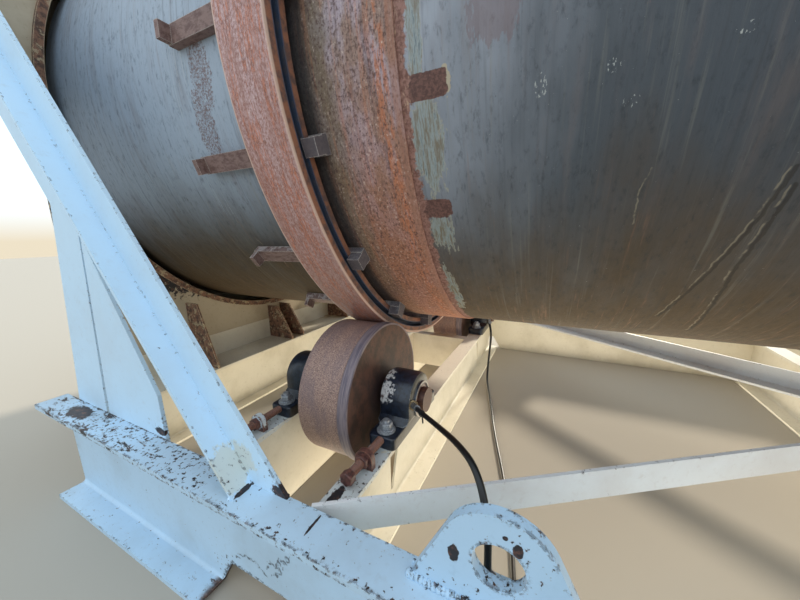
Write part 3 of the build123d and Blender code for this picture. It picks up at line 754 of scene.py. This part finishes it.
bar_rust, tree, shader = blank("bar_rust", specular=0.4)
along, up = place_of(tree)
bar_grain = grain(tree, (0.02, 0.01, 0.01), 6, 0.7)
colour = coat((134, 110, 104), (104, 80, 76), between(bar_grain, 0.42, 0.62))
upper_face = between(facing(tree, "Z"), 0.1, 0.4)
bar_flake = upper_face * between(grain(tree, 0.03, 6, 0.75, (5, 2, 8)), 0.48, 0.56)
colour = coat(colour, (190, 184, 182), bar_flake, 0.6)
# Painted ring shadow: the bar ends that run out past the ring towards the drum's middle are made dark
# blue-grey.
bar_ends_ring_shade = between(along, ring_place - 0.06, ring_place - 0.075)
colour = coat(colour, (74, 76, 84), bar_ends_ring_shade, 0.75)
colour = coat(colour, (206, 198, 192), edge_wear(tree, 0.004, 0.012, 0.3, 0.42), 0.85)
lay(shader, colour, 0.66, bar_grain, 0.001, 0.0015)
dress(bar_rust, "left_ring_lug_bars", "right_ring_lug_bars")

# Trunnion rollers: forged wheels keyed to their shafts. The ring has worn a speckled brown track
# across each, and the narrow lip beside it stays smooth and grey.

shaft_low, shaft_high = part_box("left_front_roller_shaft")
roller_y = -(shaft_low[1] + shaft_high[1]) / 2
roller_z = (shaft_low[2] + shaft_high[2]) / 2


def from_roller_shafts(tree):
    """Distance from the middle line of the nearest roller shaft, seen along it."""
    aside, above = split(where(tree), "Y", "Z")
    aside, above = abs(aside) - roller_y, above - roller_z
    return summed("SQRT", aside * aside + above * above, 0.5)


roller_rust, tree, shader = blank("roller_rust", metallic=0.2, specular=0.5)
outward = from_roller_shafts(tree)
along, up = place_of(tree)
track_grain = grain(tree, 0.0032, 5, 0.75)
track_colour = coat((176, 144, 130), (120, 96, 90), between(track_grain, 0.44, 0.6))
track_colour = coat(track_colour, (212, 188, 174), between(track_grain, 0.42, 0.34), 0.9)
track_shade = between(grain(tree, (0.05, 0.2, 0.2), 4, 0.6, (1, 1, 1)), 0.42, 0.66)
track_colour = coat(track_colour, (118, 102, 108), track_shade, 0.5)
lip_grain = grain(tree, (0.004, 0.08, 0.08), 4, 0.6)
lip_colour = coat((140, 126, 130), (98, 90, 102), between(lip_grain, 0.4, 0.65))
track_half = 0.0785      # from the ring's middle to where the lip begins
lip_place = ring_place - track_half
on_lip = between(along, lip_place + 0.0015, lip_place - 0.0015)
tread = coat(track_colour, lip_colour, on_lip)
face_runs = grain(tree, (0.05, 0.04, 0.05), 5, 0.7, (6, 1, 1))
face_colour = coat((92, 60, 48), (62, 43, 36), between(face_runs, 0.4, 0.62))
face_colour = coat(face_colour, (58, 46, 46), between(outward, 0.14, 0.08), 0.8)
roller_r = 0.236
on_face = between(outward, roller_r - 0.0005, roller_r - 0.0025)
colour = coat(tread, face_colour, on_face)
roller_rough = 0.40 + track_grain * 0.25
lay(shader, colour, roller_rough, track_grain, 0.0006, 0.004)
sides = (("front", -1), ("rear", 1))
rollers = [f"{end}_{side}_roller" for end, sign in ends for side, way in sides]
dress(roller_rust, *rollers)

# Roller shafts: turned steel, brown with rust and worn bright along their edges. Each is keyed
# into its wheel and turns in a pillow block at either end.

shaft_steel, tree, shader = blank("shaft_steel", metallic=0.3)
shaft_grain = grain(tree, (0.02, 0.004, 0.004), 5, 0.7)
colour = coat((94, 61, 47), (68, 44, 38), between(shaft_grain, 0.4, 0.6))
colour = coat(colour, (196, 172, 150), edge_wear(tree, 0.004, 0.01))
lay(shader, colour, 0.5, shaft_grain, 0.0004, 0.002)
dress(shaft_steel, *[name + "_shaft" for name in rollers])

# Front beam and lifting lugs: a rolled channel and flame-cut plates under white enamel, tinted
# blue as painted sky shade. It has chipped to black scale along the top edges and where chains
# have dragged over the ends.


def enamel(name, paint, grime, chip_from, edge_pull, streak=0.5, worse=(), strokes=(), bare=(),
           scrapes=(), stained=(), stain=(204, 202, 182), cut=()):
    """Weathered enamel: its paint and grime, and where and how readily it chips."""
    finish, tree, shader = blank(name, specular=0.45)
    broad = grain(tree, 0.25, 5, 0.6, (4, 4, 1))
    colour = coat(paint, grime, between(broad, 0.42, 0.75), streak)
    fine = grain(tree, 0.02, 6, 0.7, (2, 6, 3))
    colour = coat(colour, grime, between(fine, 0.52, 0.8), 0.6)
    blotches = between(grain(tree, 0.05, 7, 0.75, (3, 9, 6)), 0.66, 0.78)
    colour = coat(colour, (150, 124, 96), blotches, 0.45)
    spots = grain(tree, 0.011, 5, 0.66, (1, 7, 4))
    pull = sharpness(tree, 0.012, 0.14) * edge_pull
    pull = pull + between(facing(tree, "Z"), 0.5, 0.9) * 0.025
    if worse:
        pull = pull + patches(tree, worse, 0.9, 0.06, mirrored=True) * 0.075
    chip_value = spots + pull
    if strokes:
        dragged = grain(tree, (0.075, 0.024, 0.02), 7, 0.72, (2, 2, 5), (0, 0, math.radians(8)))
        pulled = patches(tree, strokes, 0.5, 0.08, mirrored=True) * (chip_from - 0.560)
        chip_value = most(chip_value, dragged + pulled)
    chips = between(chip_value, chip_from, chip_from + 0.012)
    halo = between(chip_value, chip_from - 0.030, chip_from)
    if bare:
        bared = patches(tree, bare, 0.8, 0.018, mirrored=True)
        chips = most(chips, bared)
        halo = most(halo, bared)
    if stained:
        yellowed = coat(stain, (110, 98, 78), between(spots, 0.58, 0.66))
        colour = coat(colour, yellowed, patches(tree, stained, 0.6, 0.03, mirrored=True), 0.6)
    colour = coat(colour, (158, 134, 108), halo, 0.4)
    metal = coat((38, 36, 40), (98, 66, 54), between(grain(tree, 0.014, 5, 0.7), 0.5, 0.66))
    colour = coat(colour, metal, chips)
    if cut:
        across_beam = between(abs(facing(tree, "Y")), 0.6, 0.4)
        raw = across_beam * patches(tree, cut, 0.1, mirrored=True)
        rusted = coat((104, 72, 56), (60, 46, 42), between(fine, 0.42, 0.58))
        colour = coat(colour, rusted, raw)
    if scrapes:
        scraped = scratches(tree, scrapes, 0.006, mirrored=True)
        rubbed = between(grain(tree, 0.008, 5, 0.7, (3, 3, 3)), 0.36, 0.5)
        colour = coat(colour, (70, 76, 84), scraped * rubbed, 0.85)
    relief = fine * 0.3 - chips
    rough = 0.40 + fine * 0.25
    lay(shader, colour, rough, relief, 0.0008)
    return finish


notch_scrapes = [
    [(2.672, 1.099, 0.002), (2.645, 1.099, 0.050), (2.619, 1.099, 0.094), (2.500, 1.099, 0.093)],
    [(2.590, 1.099, 0.128), (2.558, 1.099, 0.145), (2.516, 1.099, 0.142), (2.480, 1.099, 0.121)],
    [(2.476, 1.099, 0.147), (2.462, 1.099, 0.176), (2.440, 1.099, 0.170), (2.430, 1.099, 0.200),
     (2.410, 1.099, 0.200), (2.398, 1.099, 0.226)],
    [(2.462, 1.099, 0.140), (2.440, 1.099, 0.150), (2.424, 1.099, 0.178)],
]
# Painted sky shade: the white paint and its grime are given a blue tint.
beam_enamel = enamel(
    "beam_enamel", (184, 210, 230), (166, 184, 196), 0.685, 0.110, 0.6,
    worse=[
        ((2.6, 1.175, 0.381), (1.1, 0.016, 0.020)), ((2.60, 1.099, 0.06), (0.09, 0.03, 0.06)),
        ((3.0, 1.130, 0.381), (0.50, 0.08, 0.012))],
    strokes=[((3.14, 1.125, 0.381), (0.38, 0.07, 0.03))], cut=[((2.475, 1.10, 0.0), (0.22, 0.2, 0.12))],
    bare=[
        ((3.275, 1.128, 0.381), (0.066, 0.028, 0.02)), ((2.293, 1.120, 0.381), (0.003, 0.026, 0.01)),
        ((2.440, 1.084, 0.381), (0.06, 0.010, 0.03)), ((2.570, 1.092, 0.381), (0.10, 0.004, 0.01))],
    scrapes=notch_scrapes)
dress(beam_enamel, "front_main_beam")
# Painted sky shade: the white paint and its grime are given a blue tint.
lug_enamel = enamel(
    "lug_enamel", (178, 206, 228), (156, 184, 204), 0.690, 0.125, 0.5,
    worse=[
        ((1.900, 1.122, 0.535), (0.06, 0.02, 0.035)), ((1.935, 1.12, 0.468), (0.062, 0.03, 0.056)),
        ((1.90, 1.12, 0.40), (0.20, 0.03, 0.02))],
    bare=[
        ((2.010, 1.122, 0.463), (0.008, 0.01, 0.016)), ((1.920, 1.122, 0.510), (0.008, 0.01, 0.012)),
        ((1.937, 1.122, 0.524), (0.004, 0.01, 0.004))])
dress(lug_enamel, "lifting_lugs")
beam_top = 0.381
lug_place, lug_foot = 1.945, 0.140
for end, sign in ends:
    for side, way in sides:
        for face, lug_y, size in (("outer", 1.123, 0.017), ("inner", 1.101, 0.010)):
            straight_weld(
                f"{end}_{side}_lug_{face}_weld",
                (sign * lug_place - lug_foot, way * lug_y, beam_top + 0.002),
                (sign * lug_place + lug_foot, way * lug_y, beam_top + 0.002),
                size, lug_enamel,
            )

# Struts and gusset posts: angles and slit plates up to the breeching, in the same white enamel
# with its blue tint of painted sky shade, but out of the way of chains, so only nicked. Rust
# sits at their feet, where the welds trap water.

strut_enamel = enamel(
    "strut_enamel", (194, 222, 243), (186, 204, 218), 0.725, 0.125, 0.4,
    worse=[((2.46, 1.12, 0.43), (0.10, 0.05, 0.05)), ((2.90, 1.085, 0.40), (0.09, 0.02, 0.05))],
    bare=[
        ((2.400, 1.094, 0.392), (0.030, 0.012, 0.022)), ((2.875, 1.089, 0.40), (0.03, 0.01, 0.012)),
        ((2.495, 1.118, 0.384), (0.014, 0.036, 0.006))],
    stained=[((2.510, 1.125, 0.440), (0.06, 0.04, 0.060))])
for end, sign in ends:
    dress(strut_enamel, f"{end}_breeching_struts", f"{end}_gusset_posts")
strut_foot_edges = ((2.498, 1.152), (2.498, 1.090), (2.385, 1.090))
for end, sign in ends:
    for side, way in sides:
        for number, (first, last) in enumerate(zip(strut_foot_edges, strut_foot_edges[1:])):
            straight_weld(
                f"{end}_{side}_strut_weld_{number + 1}",
                (sign * first[0], way * first[1], beam_top + 0.001),
                (sign * last[0], way * last[1], beam_top + 0.001),
                0.010, strut_enamel,
            )

# Crossmembers, spacers, braces and rear beam: the same steel, creamier where dust from the
# yard has settled on the paint and rain has run it down the webs. The cream of the crossmembers,
# spacers and rear beam is also painted warm light from the sunlit ground under the drum.

cross_enamel = enamel("cross_enamel", (226, 219, 202), (194, 185, 164), 0.73, 0.08, 0.7)
# Dust and painted warm light from the ground: this paint too is given a cream tint.
bearing_enamel = enamel(
    "bearing_enamel", (228, 221, 204), (198, 190, 168), 0.72, 0.07, 0.6,
    worse=[((2.6, 0.87, 0.305), (0.5, 0.22, 0.012))],
    bare=[
        ((2.83, 0.88, 0.28), (0.07, 0.06, 0.05)), ((2.30, 0.655, 0.22), (0.06, 0.012, 0.09)),
        ((2.42, 0.92, 0.305), (0.02, 0.05, 0.01)), ((2.35, 1.00, 0.305), (0.015, 0.06, 0.01)),
        ((2.36, 0.83, 0.305), (0.02, 0.03, 0.01)), ((2.73, 1.00, 0.305), (0.03, 0.05, 0.02))],
    stained=[((2.6, 0.95, 0.305), (0.5, 0.24, 0.02))], stain=(206, 218, 228))
for end, sign in ends:
    dress(cross_enamel, f"{end}_end_crossmember", f"{end}_middle_crossmember")
    dress(bearing_enamel, f"{end}_outer_bearing_crossmember", f"{end}_inner_bearing_crossmember")
dress(cross_enamel, "bearing_spacers", "rear_main_beam", "breeching_sills")
brace_enamel = enamel("brace_enamel", (222, 224, 226), (200, 192, 188), 0.73, 0.10, 0.5)
dress(brace_enamel, "plan_braces")

# Breeching housings: 6 mm plate boxes in old cream paint, rusting from the hole where the hot
# drum runs in. The gussets under them are bare and burnt brown.

breech_enamel = enamel(
    "breech_enamel", (190, 176, 152), (158, 140, 116), 0.71, 0.09, 0.8,
    bare=[((3.615, 0.20, 0.80), (0.05, 0.75, 0.17)), ((3.615, 0.75, 1.05), (0.05, 0.24, 0.30))])
for end, sign in ends:
    for place in ("front", "casing", "back"):
        dress(breech_enamel, f"{end}_breeching_{place}")
burnt_steel, tree, shader = blank("burnt_steel", specular=0.3)
burnt_grain = grain(tree, 0.02, 6, 0.7)
colour = coat((138, 102, 82), (88, 68, 60), between(burnt_grain, 0.42, 0.6))
burnt_flake = between(grain(tree, 0.035, 7, 0.75, (5, 5, 5)), 0.54, 0.58)
colour = coat(colour, (188, 172, 140), burnt_flake, 0.7)
colour = coat(colour, (206, 186, 156), edge_wear(tree, 0.006, 0.012))
lay(shader, colour, 0.75, burnt_grain, 0.001, 0.002)
dress(burnt_steel, "breeching_gussets", "left_drum_seal_ring", "right_drum_seal_ring")

# Breeching stiffeners: two flat bars stood on edge and welded along each sloping side of the
# housings, and the weld that closes the back plate's upright joints. In the same old paint.

casing_low, casing_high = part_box("right_breeching_casing")
back_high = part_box("right_breeching_back")[1]
bar_deep, bar_thick, bar_short = 0.045, 0.008, 0.050
bar_heights = (1.45, 2.24)
bar_sunk, joint_sunk = 0.001, 0.002
joint_size, joint_short = 0.011, 0.010
side_front = Vector((casing_low[0], casing_high[1], 0))
side_back = Vector((casing_high[0], back_high[1], 0))
side_run = side_back - side_front
side_out = Vector((-side_run.y, side_run.x, 0)).normalized()
bar_middle = (side_front + side_back) / 2 + side_out * (bar_deep / 2 - bar_sunk)
joint_x, joint_y = side_back.x - joint_sunk, side_back.y - joint_sunk
for end, sign in ends:
    for side, way in sides:
        slope = math.atan2(way * side_run.y, sign * side_run.x)
        for number, height in enumerate(bar_heights):
            bar = take_up(
                bpy.ops.mesh.primitive_cube_add, size=1, rotation=(0, 0, slope),
                location=(sign * bar_middle.x, way * bar_middle.y, height),
                scale=(side_run.length - bar_short, bar_deep, bar_thick))
            bpy.ops.mesh.bevel(offset=0.0012, segments=2)
            name = f"{end}_{side}_breeching_bar_{number + 1}"
            settle(bar, name, breech_enamel, "frame")
        straight_weld(
            f"{end}_{side}_breeching_weld",
            (sign * joint_x, way * joint_y, casing_low[2] + joint_short),
            (sign * joint_x, way * joint_y, casing_high[2] - joint_short),
            joint_size, breech_enamel)

# Pillow blocks: iron castings in dark blue paint, oily and chipped. Each is one casting, a
# barrel with sloped shoulders on a spreading foot, with a rimmed cap sunk into both faces.


def spread(piece, placings, finish, body):
    """One piece brought to the first of several named placings and copied to the rest."""
    names = list(placings)
    made = [settle(piece, names[0], finish, body)]
    for name in names[1:]:
        again = piece.copy()
        again.data = piece.data.copy()
        again.name = again.data.name = name
        again.data.transform(placings[name])
        bpy.context.scene.collection.objects.link(again)
        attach(again, body)
        made.append(again)
    piece.data.transform(placings[names[0]])
    return made


crossmember_top = 0.305
housing_r, housing_w = 0.088, 0.112
cap_r, cap_out = 0.060, 0.008
foot_l, foot_w, foot_t = 0.350, 0.092, 0.038
foot_drop = roller_z - crossmember_top
flare = 0.020            # how far the barrel spreads to its foot
shoulder = 0.015         # the slope along the barrel's upper edges

block_paint, tree, shader = blank("block_paint", specular=0.6)
block_grain = grain(tree, 0.012, 6, 0.7)
colour = coat((30, 40, 56), (18, 22, 32), between(block_grain, 0.42, 0.6))
on_side = between(abs(facing(tree, "X")), 0.75, 0.9)
oily = coat((70, 68, 64), (48, 44, 38), between(grain(tree, 0.03, 6, 0.7), 0.42, 0.6))
colour = coat(colour, oily, on_side)
outward = from_roller_shafts(tree)
cap_colour = coat((128, 92, 84), (96, 58, 50), between(block_grain, 0.42, 0.6))
rim_in, rim_out = 0.0530, cap_r
in_cap = on_side * between(outward, rim_in + 0.0005, rim_in - 0.0005)
colour = coat(colour, cap_colour, in_cap)
rim = between(outward, rim_in - 0.0005, rim_in + 0.0005)
rim = rim * between(outward, rim_out + 0.0005, rim_out) * on_side
colour = coat(colour, (178, 166, 150), rim, 0.75)
knocked = patches(tree, [
    ((-2.380, -0.690, 0.440), (0.024, 0.022, 0.034)),
    ((-2.388, -0.645, 0.475), (0.014, 0.034, 0.016)),
], 0.9, 0.014)
colour = coat(colour, (92, 74, 74), knocked)
flakes = patches(tree, [
    ((-2.370, -0.685, 0.445), (0.034, 0.034, 0.046)),
    ((-2.380, -0.640, 0.478), (0.026, 0.040, 0.018)),
], 0.8, 0.012)
flakes = flakes * between(grain(tree, 0.016, 6, 0.7, (2, 2, 2)), 0.46, 0.50)
colour = coat(colour, (204, 202, 200), flakes)
# Light worn edges on the casting, which also stand in for painted highlights along them.
colour = coat(colour, (168, 172, 176), edge_wear(tree, 0.005, 0.014, 0.37, 0.44), 0.8)
lay(shader, colour, 0.28, block_grain, 0.0006)

housing = take_up(
    bpy.ops.mesh.primitive_cylinder_add, vertices=48, radius=housing_r, depth=housing_w,
    rotation=(0, quarter, 0))
bpy.ops.mesh.select_all(action="SELECT")
bpy.ops.mesh.bisect(plane_co=(0, 0, 0), plane_no=(0, 0, 1), clear_inner=True)
pick(housing, "edges", lambda edge: all(abs(point.co.z) < 1e-5 for point in edge.verts))
barrel_drop = foot_t + flare - foot_drop
bpy.ops.mesh.extrude_region_move(TRANSFORM_OT_translate={"value": (0, 0, barrel_drop)})
bpy.ops.mesh.extrude_region_move(TRANSFORM_OT_translate={"value": (0, 0, -flare)})
bpy.ops.transform.resize(value=(1, (housing_r + flare) / housing_r, 1))
bpy.ops.mesh.edge_face_add()
bpy.ops.mesh.select_all(action="SELECT")
bpy.ops.mesh.remove_doubles(threshold=1e-5)
bpy.ops.mesh.normals_make_consistent(inside=False)
pick(housing, "edges", lambda edge: len({abs(face.normal.x) > 0.9 for face in edge.link_faces}) == 2)
bpy.ops.mesh.bevel(offset=shoulder, segments=2)

foot = take_up(
    bpy.ops.mesh.primitive_cube_add, size=1, location=(0, 0, foot_t / 2 - foot_drop),
    scale=(foot_w, foot_l, foot_t))
pick(foot, "edges", lambda edge: upright(edge, foot_t / 2))
bpy.ops.mesh.bevel(offset=0.016, segments=5)
middle_z = foot_t / 2 - foot_drop
pick(foot, "edges", lambda edge: all(point.co.z > middle_z for point in edge.verts)
     and len({face.normal.z > 0.9 for face in edge.link_faces}) == 2)
bpy.ops.mesh.bevel(offset=0.006, segments=3)

cap = take_up(
    bpy.ops.mesh.primitive_cylinder_add, vertices=48, radius=cap_r, depth=housing_w + 2 * cap_out,
    rotation=(0, quarter, 0))
pick(cap, "faces", lambda face: abs(face.normal.x) > 0.9)
for thickness, depth in ((0.0015, 0), (0.005, 0), (0.0015, -0.005), (0.010, 0.002)):
    bpy.ops.mesh.inset(thickness=thickness, depth=depth)
pick(cap, "edges", lambda edge: abs(edge.verts[0].co.x - edge.verts[1].co.x) < 1e-5
     and all(math.hypot(point.co.y, point.co.z) > cap_r - 1e-4 for point in edge.verts))
bpy.ops.mesh.bevel(offset=0.0012, segments=2)
block = join(housing, foot, cap)

bearing_in = 0.083       # from the end of a shaft to the middle of its bearing
bearing_ways = {"outer": shaft_low[0] + bearing_in, "inner": shaft_high[0] - bearing_in}
bearings = {
    f"{end}_{side}_{row}": Vector((-sign * along_x, way * roller_y, roller_z))
    for row, along_x in bearing_ways.items() for side, way in sides for end, sign in ends}
placings = {name + "_block": Matrix.Translation(place) for name, place in bearings.items()}
for made in spread(block, placings, block_paint, "frame"):
    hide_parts(made.name.split("_")[0] + "_pillow_blocks")

# Hold-down bolts: two M22 studs to a block, with heavy nuts on thick and thin washers, all of
# plated steel gone dull. They stand in the feet of the blocks, on either side of the barrel.

stud_aside = 0.139
stud_r, stud_top, nut_across, nut_height = 0.011, 0.037, 0.036, 0.019
thick_washer, thin_washer = (0.029, 0.0, 0.006), (0.024, 0.006, 0.010)     # radius, foot, top
bolt_steel, tree, shader = blank("bolt_steel", metallic=0.5)
bolt_grain = grain(tree, 0.006, 5, 0.7)
colour = coat((168, 172, 178), (128, 126, 128), between(bolt_grain, 0.46, 0.66))
lay(shader, colour, 0.45, bolt_grain, 0.0003)

nut_middle = thin_washer[2] + nut_height / 2
stud = hex_nut("stud", (0, 0, nut_middle), (0, 0, 1), nut_across, nut_height, bolt_steel)
parts = []
for radius, low, high in (thick_washer, thin_washer, (stud_r, 0.0, stud_top)):
    part = take_up(
        bpy.ops.mesh.primitive_cylinder_add, vertices=32, radius=radius, depth=high - low,
        location=(0, 0, (low + high) / 2))
    pick(part, "edges", lambda edge: not upright(edge, 1e-6))
    bpy.ops.mesh.bevel(offset=0.001, segments=2)
    parts.append(part)
join(stud, *parts)
placings = {}
for name, place in bearings.items():
    for number, aside in enumerate((-stud_aside, stud_aside)):
        foot_top = (place.x, place.y + aside, roller_z - foot_drop + foot_t)
        placings[f"{name}_stud_{number + 1}"] = Matrix.Translation(foot_top)
spread(stud, placings, bolt_steel, "frame")

# Jacking screws: threaded rod through a round lug, a lock nut on the lug and a hexagon head to
# turn it by. Maroon with rust and grease; the near outer lug still has its white paint.

screw_steel, tree, shader = blank("screw_steel", specular=0.6)
screw_grain = grain(tree, 0.008, 6, 0.7)
colour = coat((112, 72, 64), (70, 46, 44), between(screw_grain, 0.42, 0.6))
colour = coat(colour, (176, 120, 88), edge_wear(tree, 0.004, 0.01), 0.8)
painted = patches(tree, [((-2.754, -0.865, 0.335), (0.032, 0.014, 0.034))], 0.5, 0.012)
colour = coat(colour, (214, 222, 228), painted)
lay(shader, colour, 0.42, screw_grain, 0.0005, 0.0015)
dress(screw_steel, "left_jacking_screws", "right_jacking_screws")

screw_z = roller_z - foot_drop + 0.028
lug_aside, lug_half, lock_height = 0.262, 0.009, 0.016
screw_from, screw_length, screw_r = 0.175, 0.178, 0.011
thread_pitch = 0.004
thread = take_up(
    bpy.ops.mesh.primitive_cylinder_add, vertices=16, radius=screw_r + 0.0003, depth=thread_pitch,
    end_fill_type="NOTHING")
pick(thread, "edges", lambda edge: upright(edge, thread_pitch / 2))
bpy.ops.mesh.subdivide(number_cuts=1)
pick(thread, "verts", lambda point: abs(point.co.z) < thread_pitch / 8)
bpy.ops.transform.resize(value=(1.13, 1.13, 1), center_override=(0, 0, 0))
put_down()
repeat(thread, int(screw_length / thread_pitch), (0, 0, thread_pitch), 0.0001)
thread.data.transform(Matrix.Translation((0, 0, thread_pitch / 2)))
lock_middle = lug_aside + lug_half - screw_from + lock_height / 2
lock_nut = hex_nut("lock_nut", (0, 0, lock_middle), (0, 0, 1), 0.036, lock_height, screw_steel)
head_length, head_past = 0.024, 0.001
head_middle = screw_length + head_past - head_length / 2
head = hex_nut("screw_head", (0, 0, head_middle), (0, 0, 1), 0.034, head_length, screw_steel)
join(thread, lock_nut, head)
placings = {}
for name, place in bearings.items():
    way = math.copysign(1, place.y)
    start = Matrix.Translation((place.x, way * (roller_y + screw_from), screw_z))
    placings[name + "_screw"] = start @ Matrix.Rotation(-way * quarter, 4, "X")
spread(thread, placings, screw_steel, "frame")

# The yard: a plain pale floor, a soft cool sky over it and one low soft lamp behind the drum,
# which throws its light in under it.

yard_size = 60
sky_colour = (0.80, 0.91, 1.0, 1)
ground_glow = (0.62, 0.55, 0.42, 1)
floor_colour = (0.42, 0.38, 0.32, 1)

put_down()
bpy.ops.mesh.primitive_plane_add(size=yard_size)
floor = bpy.context.object
floor.name = "yard_floor"
floor_finish, tree, shader = blank("yard_floor")
fill(shader.inputs["Base Color"], floor_colour)
fill(shader.inputs["Roughness"], 0.9)
floor.data.materials.append(floor_finish)

world = bpy.data.worlds.new("open_sky")
world.use_nodes = True
bpy.context.scene.world = world
sky = world.node_tree
rise = split(node(sky, "TexCoord", output="Generated"), "Z")[0]
shade = node(sky, "ValToRGB", {0: rise})
low, high = shade.node.color_ramp.elements
low.position, low.color = 0.0, ground_glow
high.position, high.color = 0.10, sky_colour
fill(sky.nodes["Background"].inputs["Color"], shade)
fill(sky.nodes["Background"].inputs["Strength"], 1.4)

lamp_from = Vector((0.16, 0.84, 0.42))
lamp_data = bpy.data.lights.new("soft_lamp", "SUN")
lamp_data.energy = 3.8
lamp_data.angle = math.radians(5)
lamp_data.color = (1.0, 0.90, 0.74)
lamp = bpy.data.objects.new("soft_lamp", lamp_data)
lamp.rotation_euler = lamp_from.to_track_quat("Z", "Y").to_euler()
bpy.context.scene.collection.objects.link(lamp)

# The ground's glow: the warm light that comes back up between the beams, under the drum, from
# one flat lamp that the camera doesn't see.

glow_size = (7.0, 1.9)
glow_power = 62
glow_data = bpy.data.lights.new("ground_glow", "AREA")
glow_data.shape = "RECTANGLE"
glow_data.size, glow_data.size_y = glow_size
glow_data.energy = glow_power
glow_data.color = (1.0, 0.90, 0.70)
glow = bpy.data.objects.new("ground_glow", glow_data)
glow.location = (0, 0.05, 0.003)
glow.rotation_euler = (math.pi, 0, 0)
glow.visible_camera = False
bpy.context.scene.collection.objects.link(glow)

bpy.context.scene.view_settings.view_transform = "Standard"
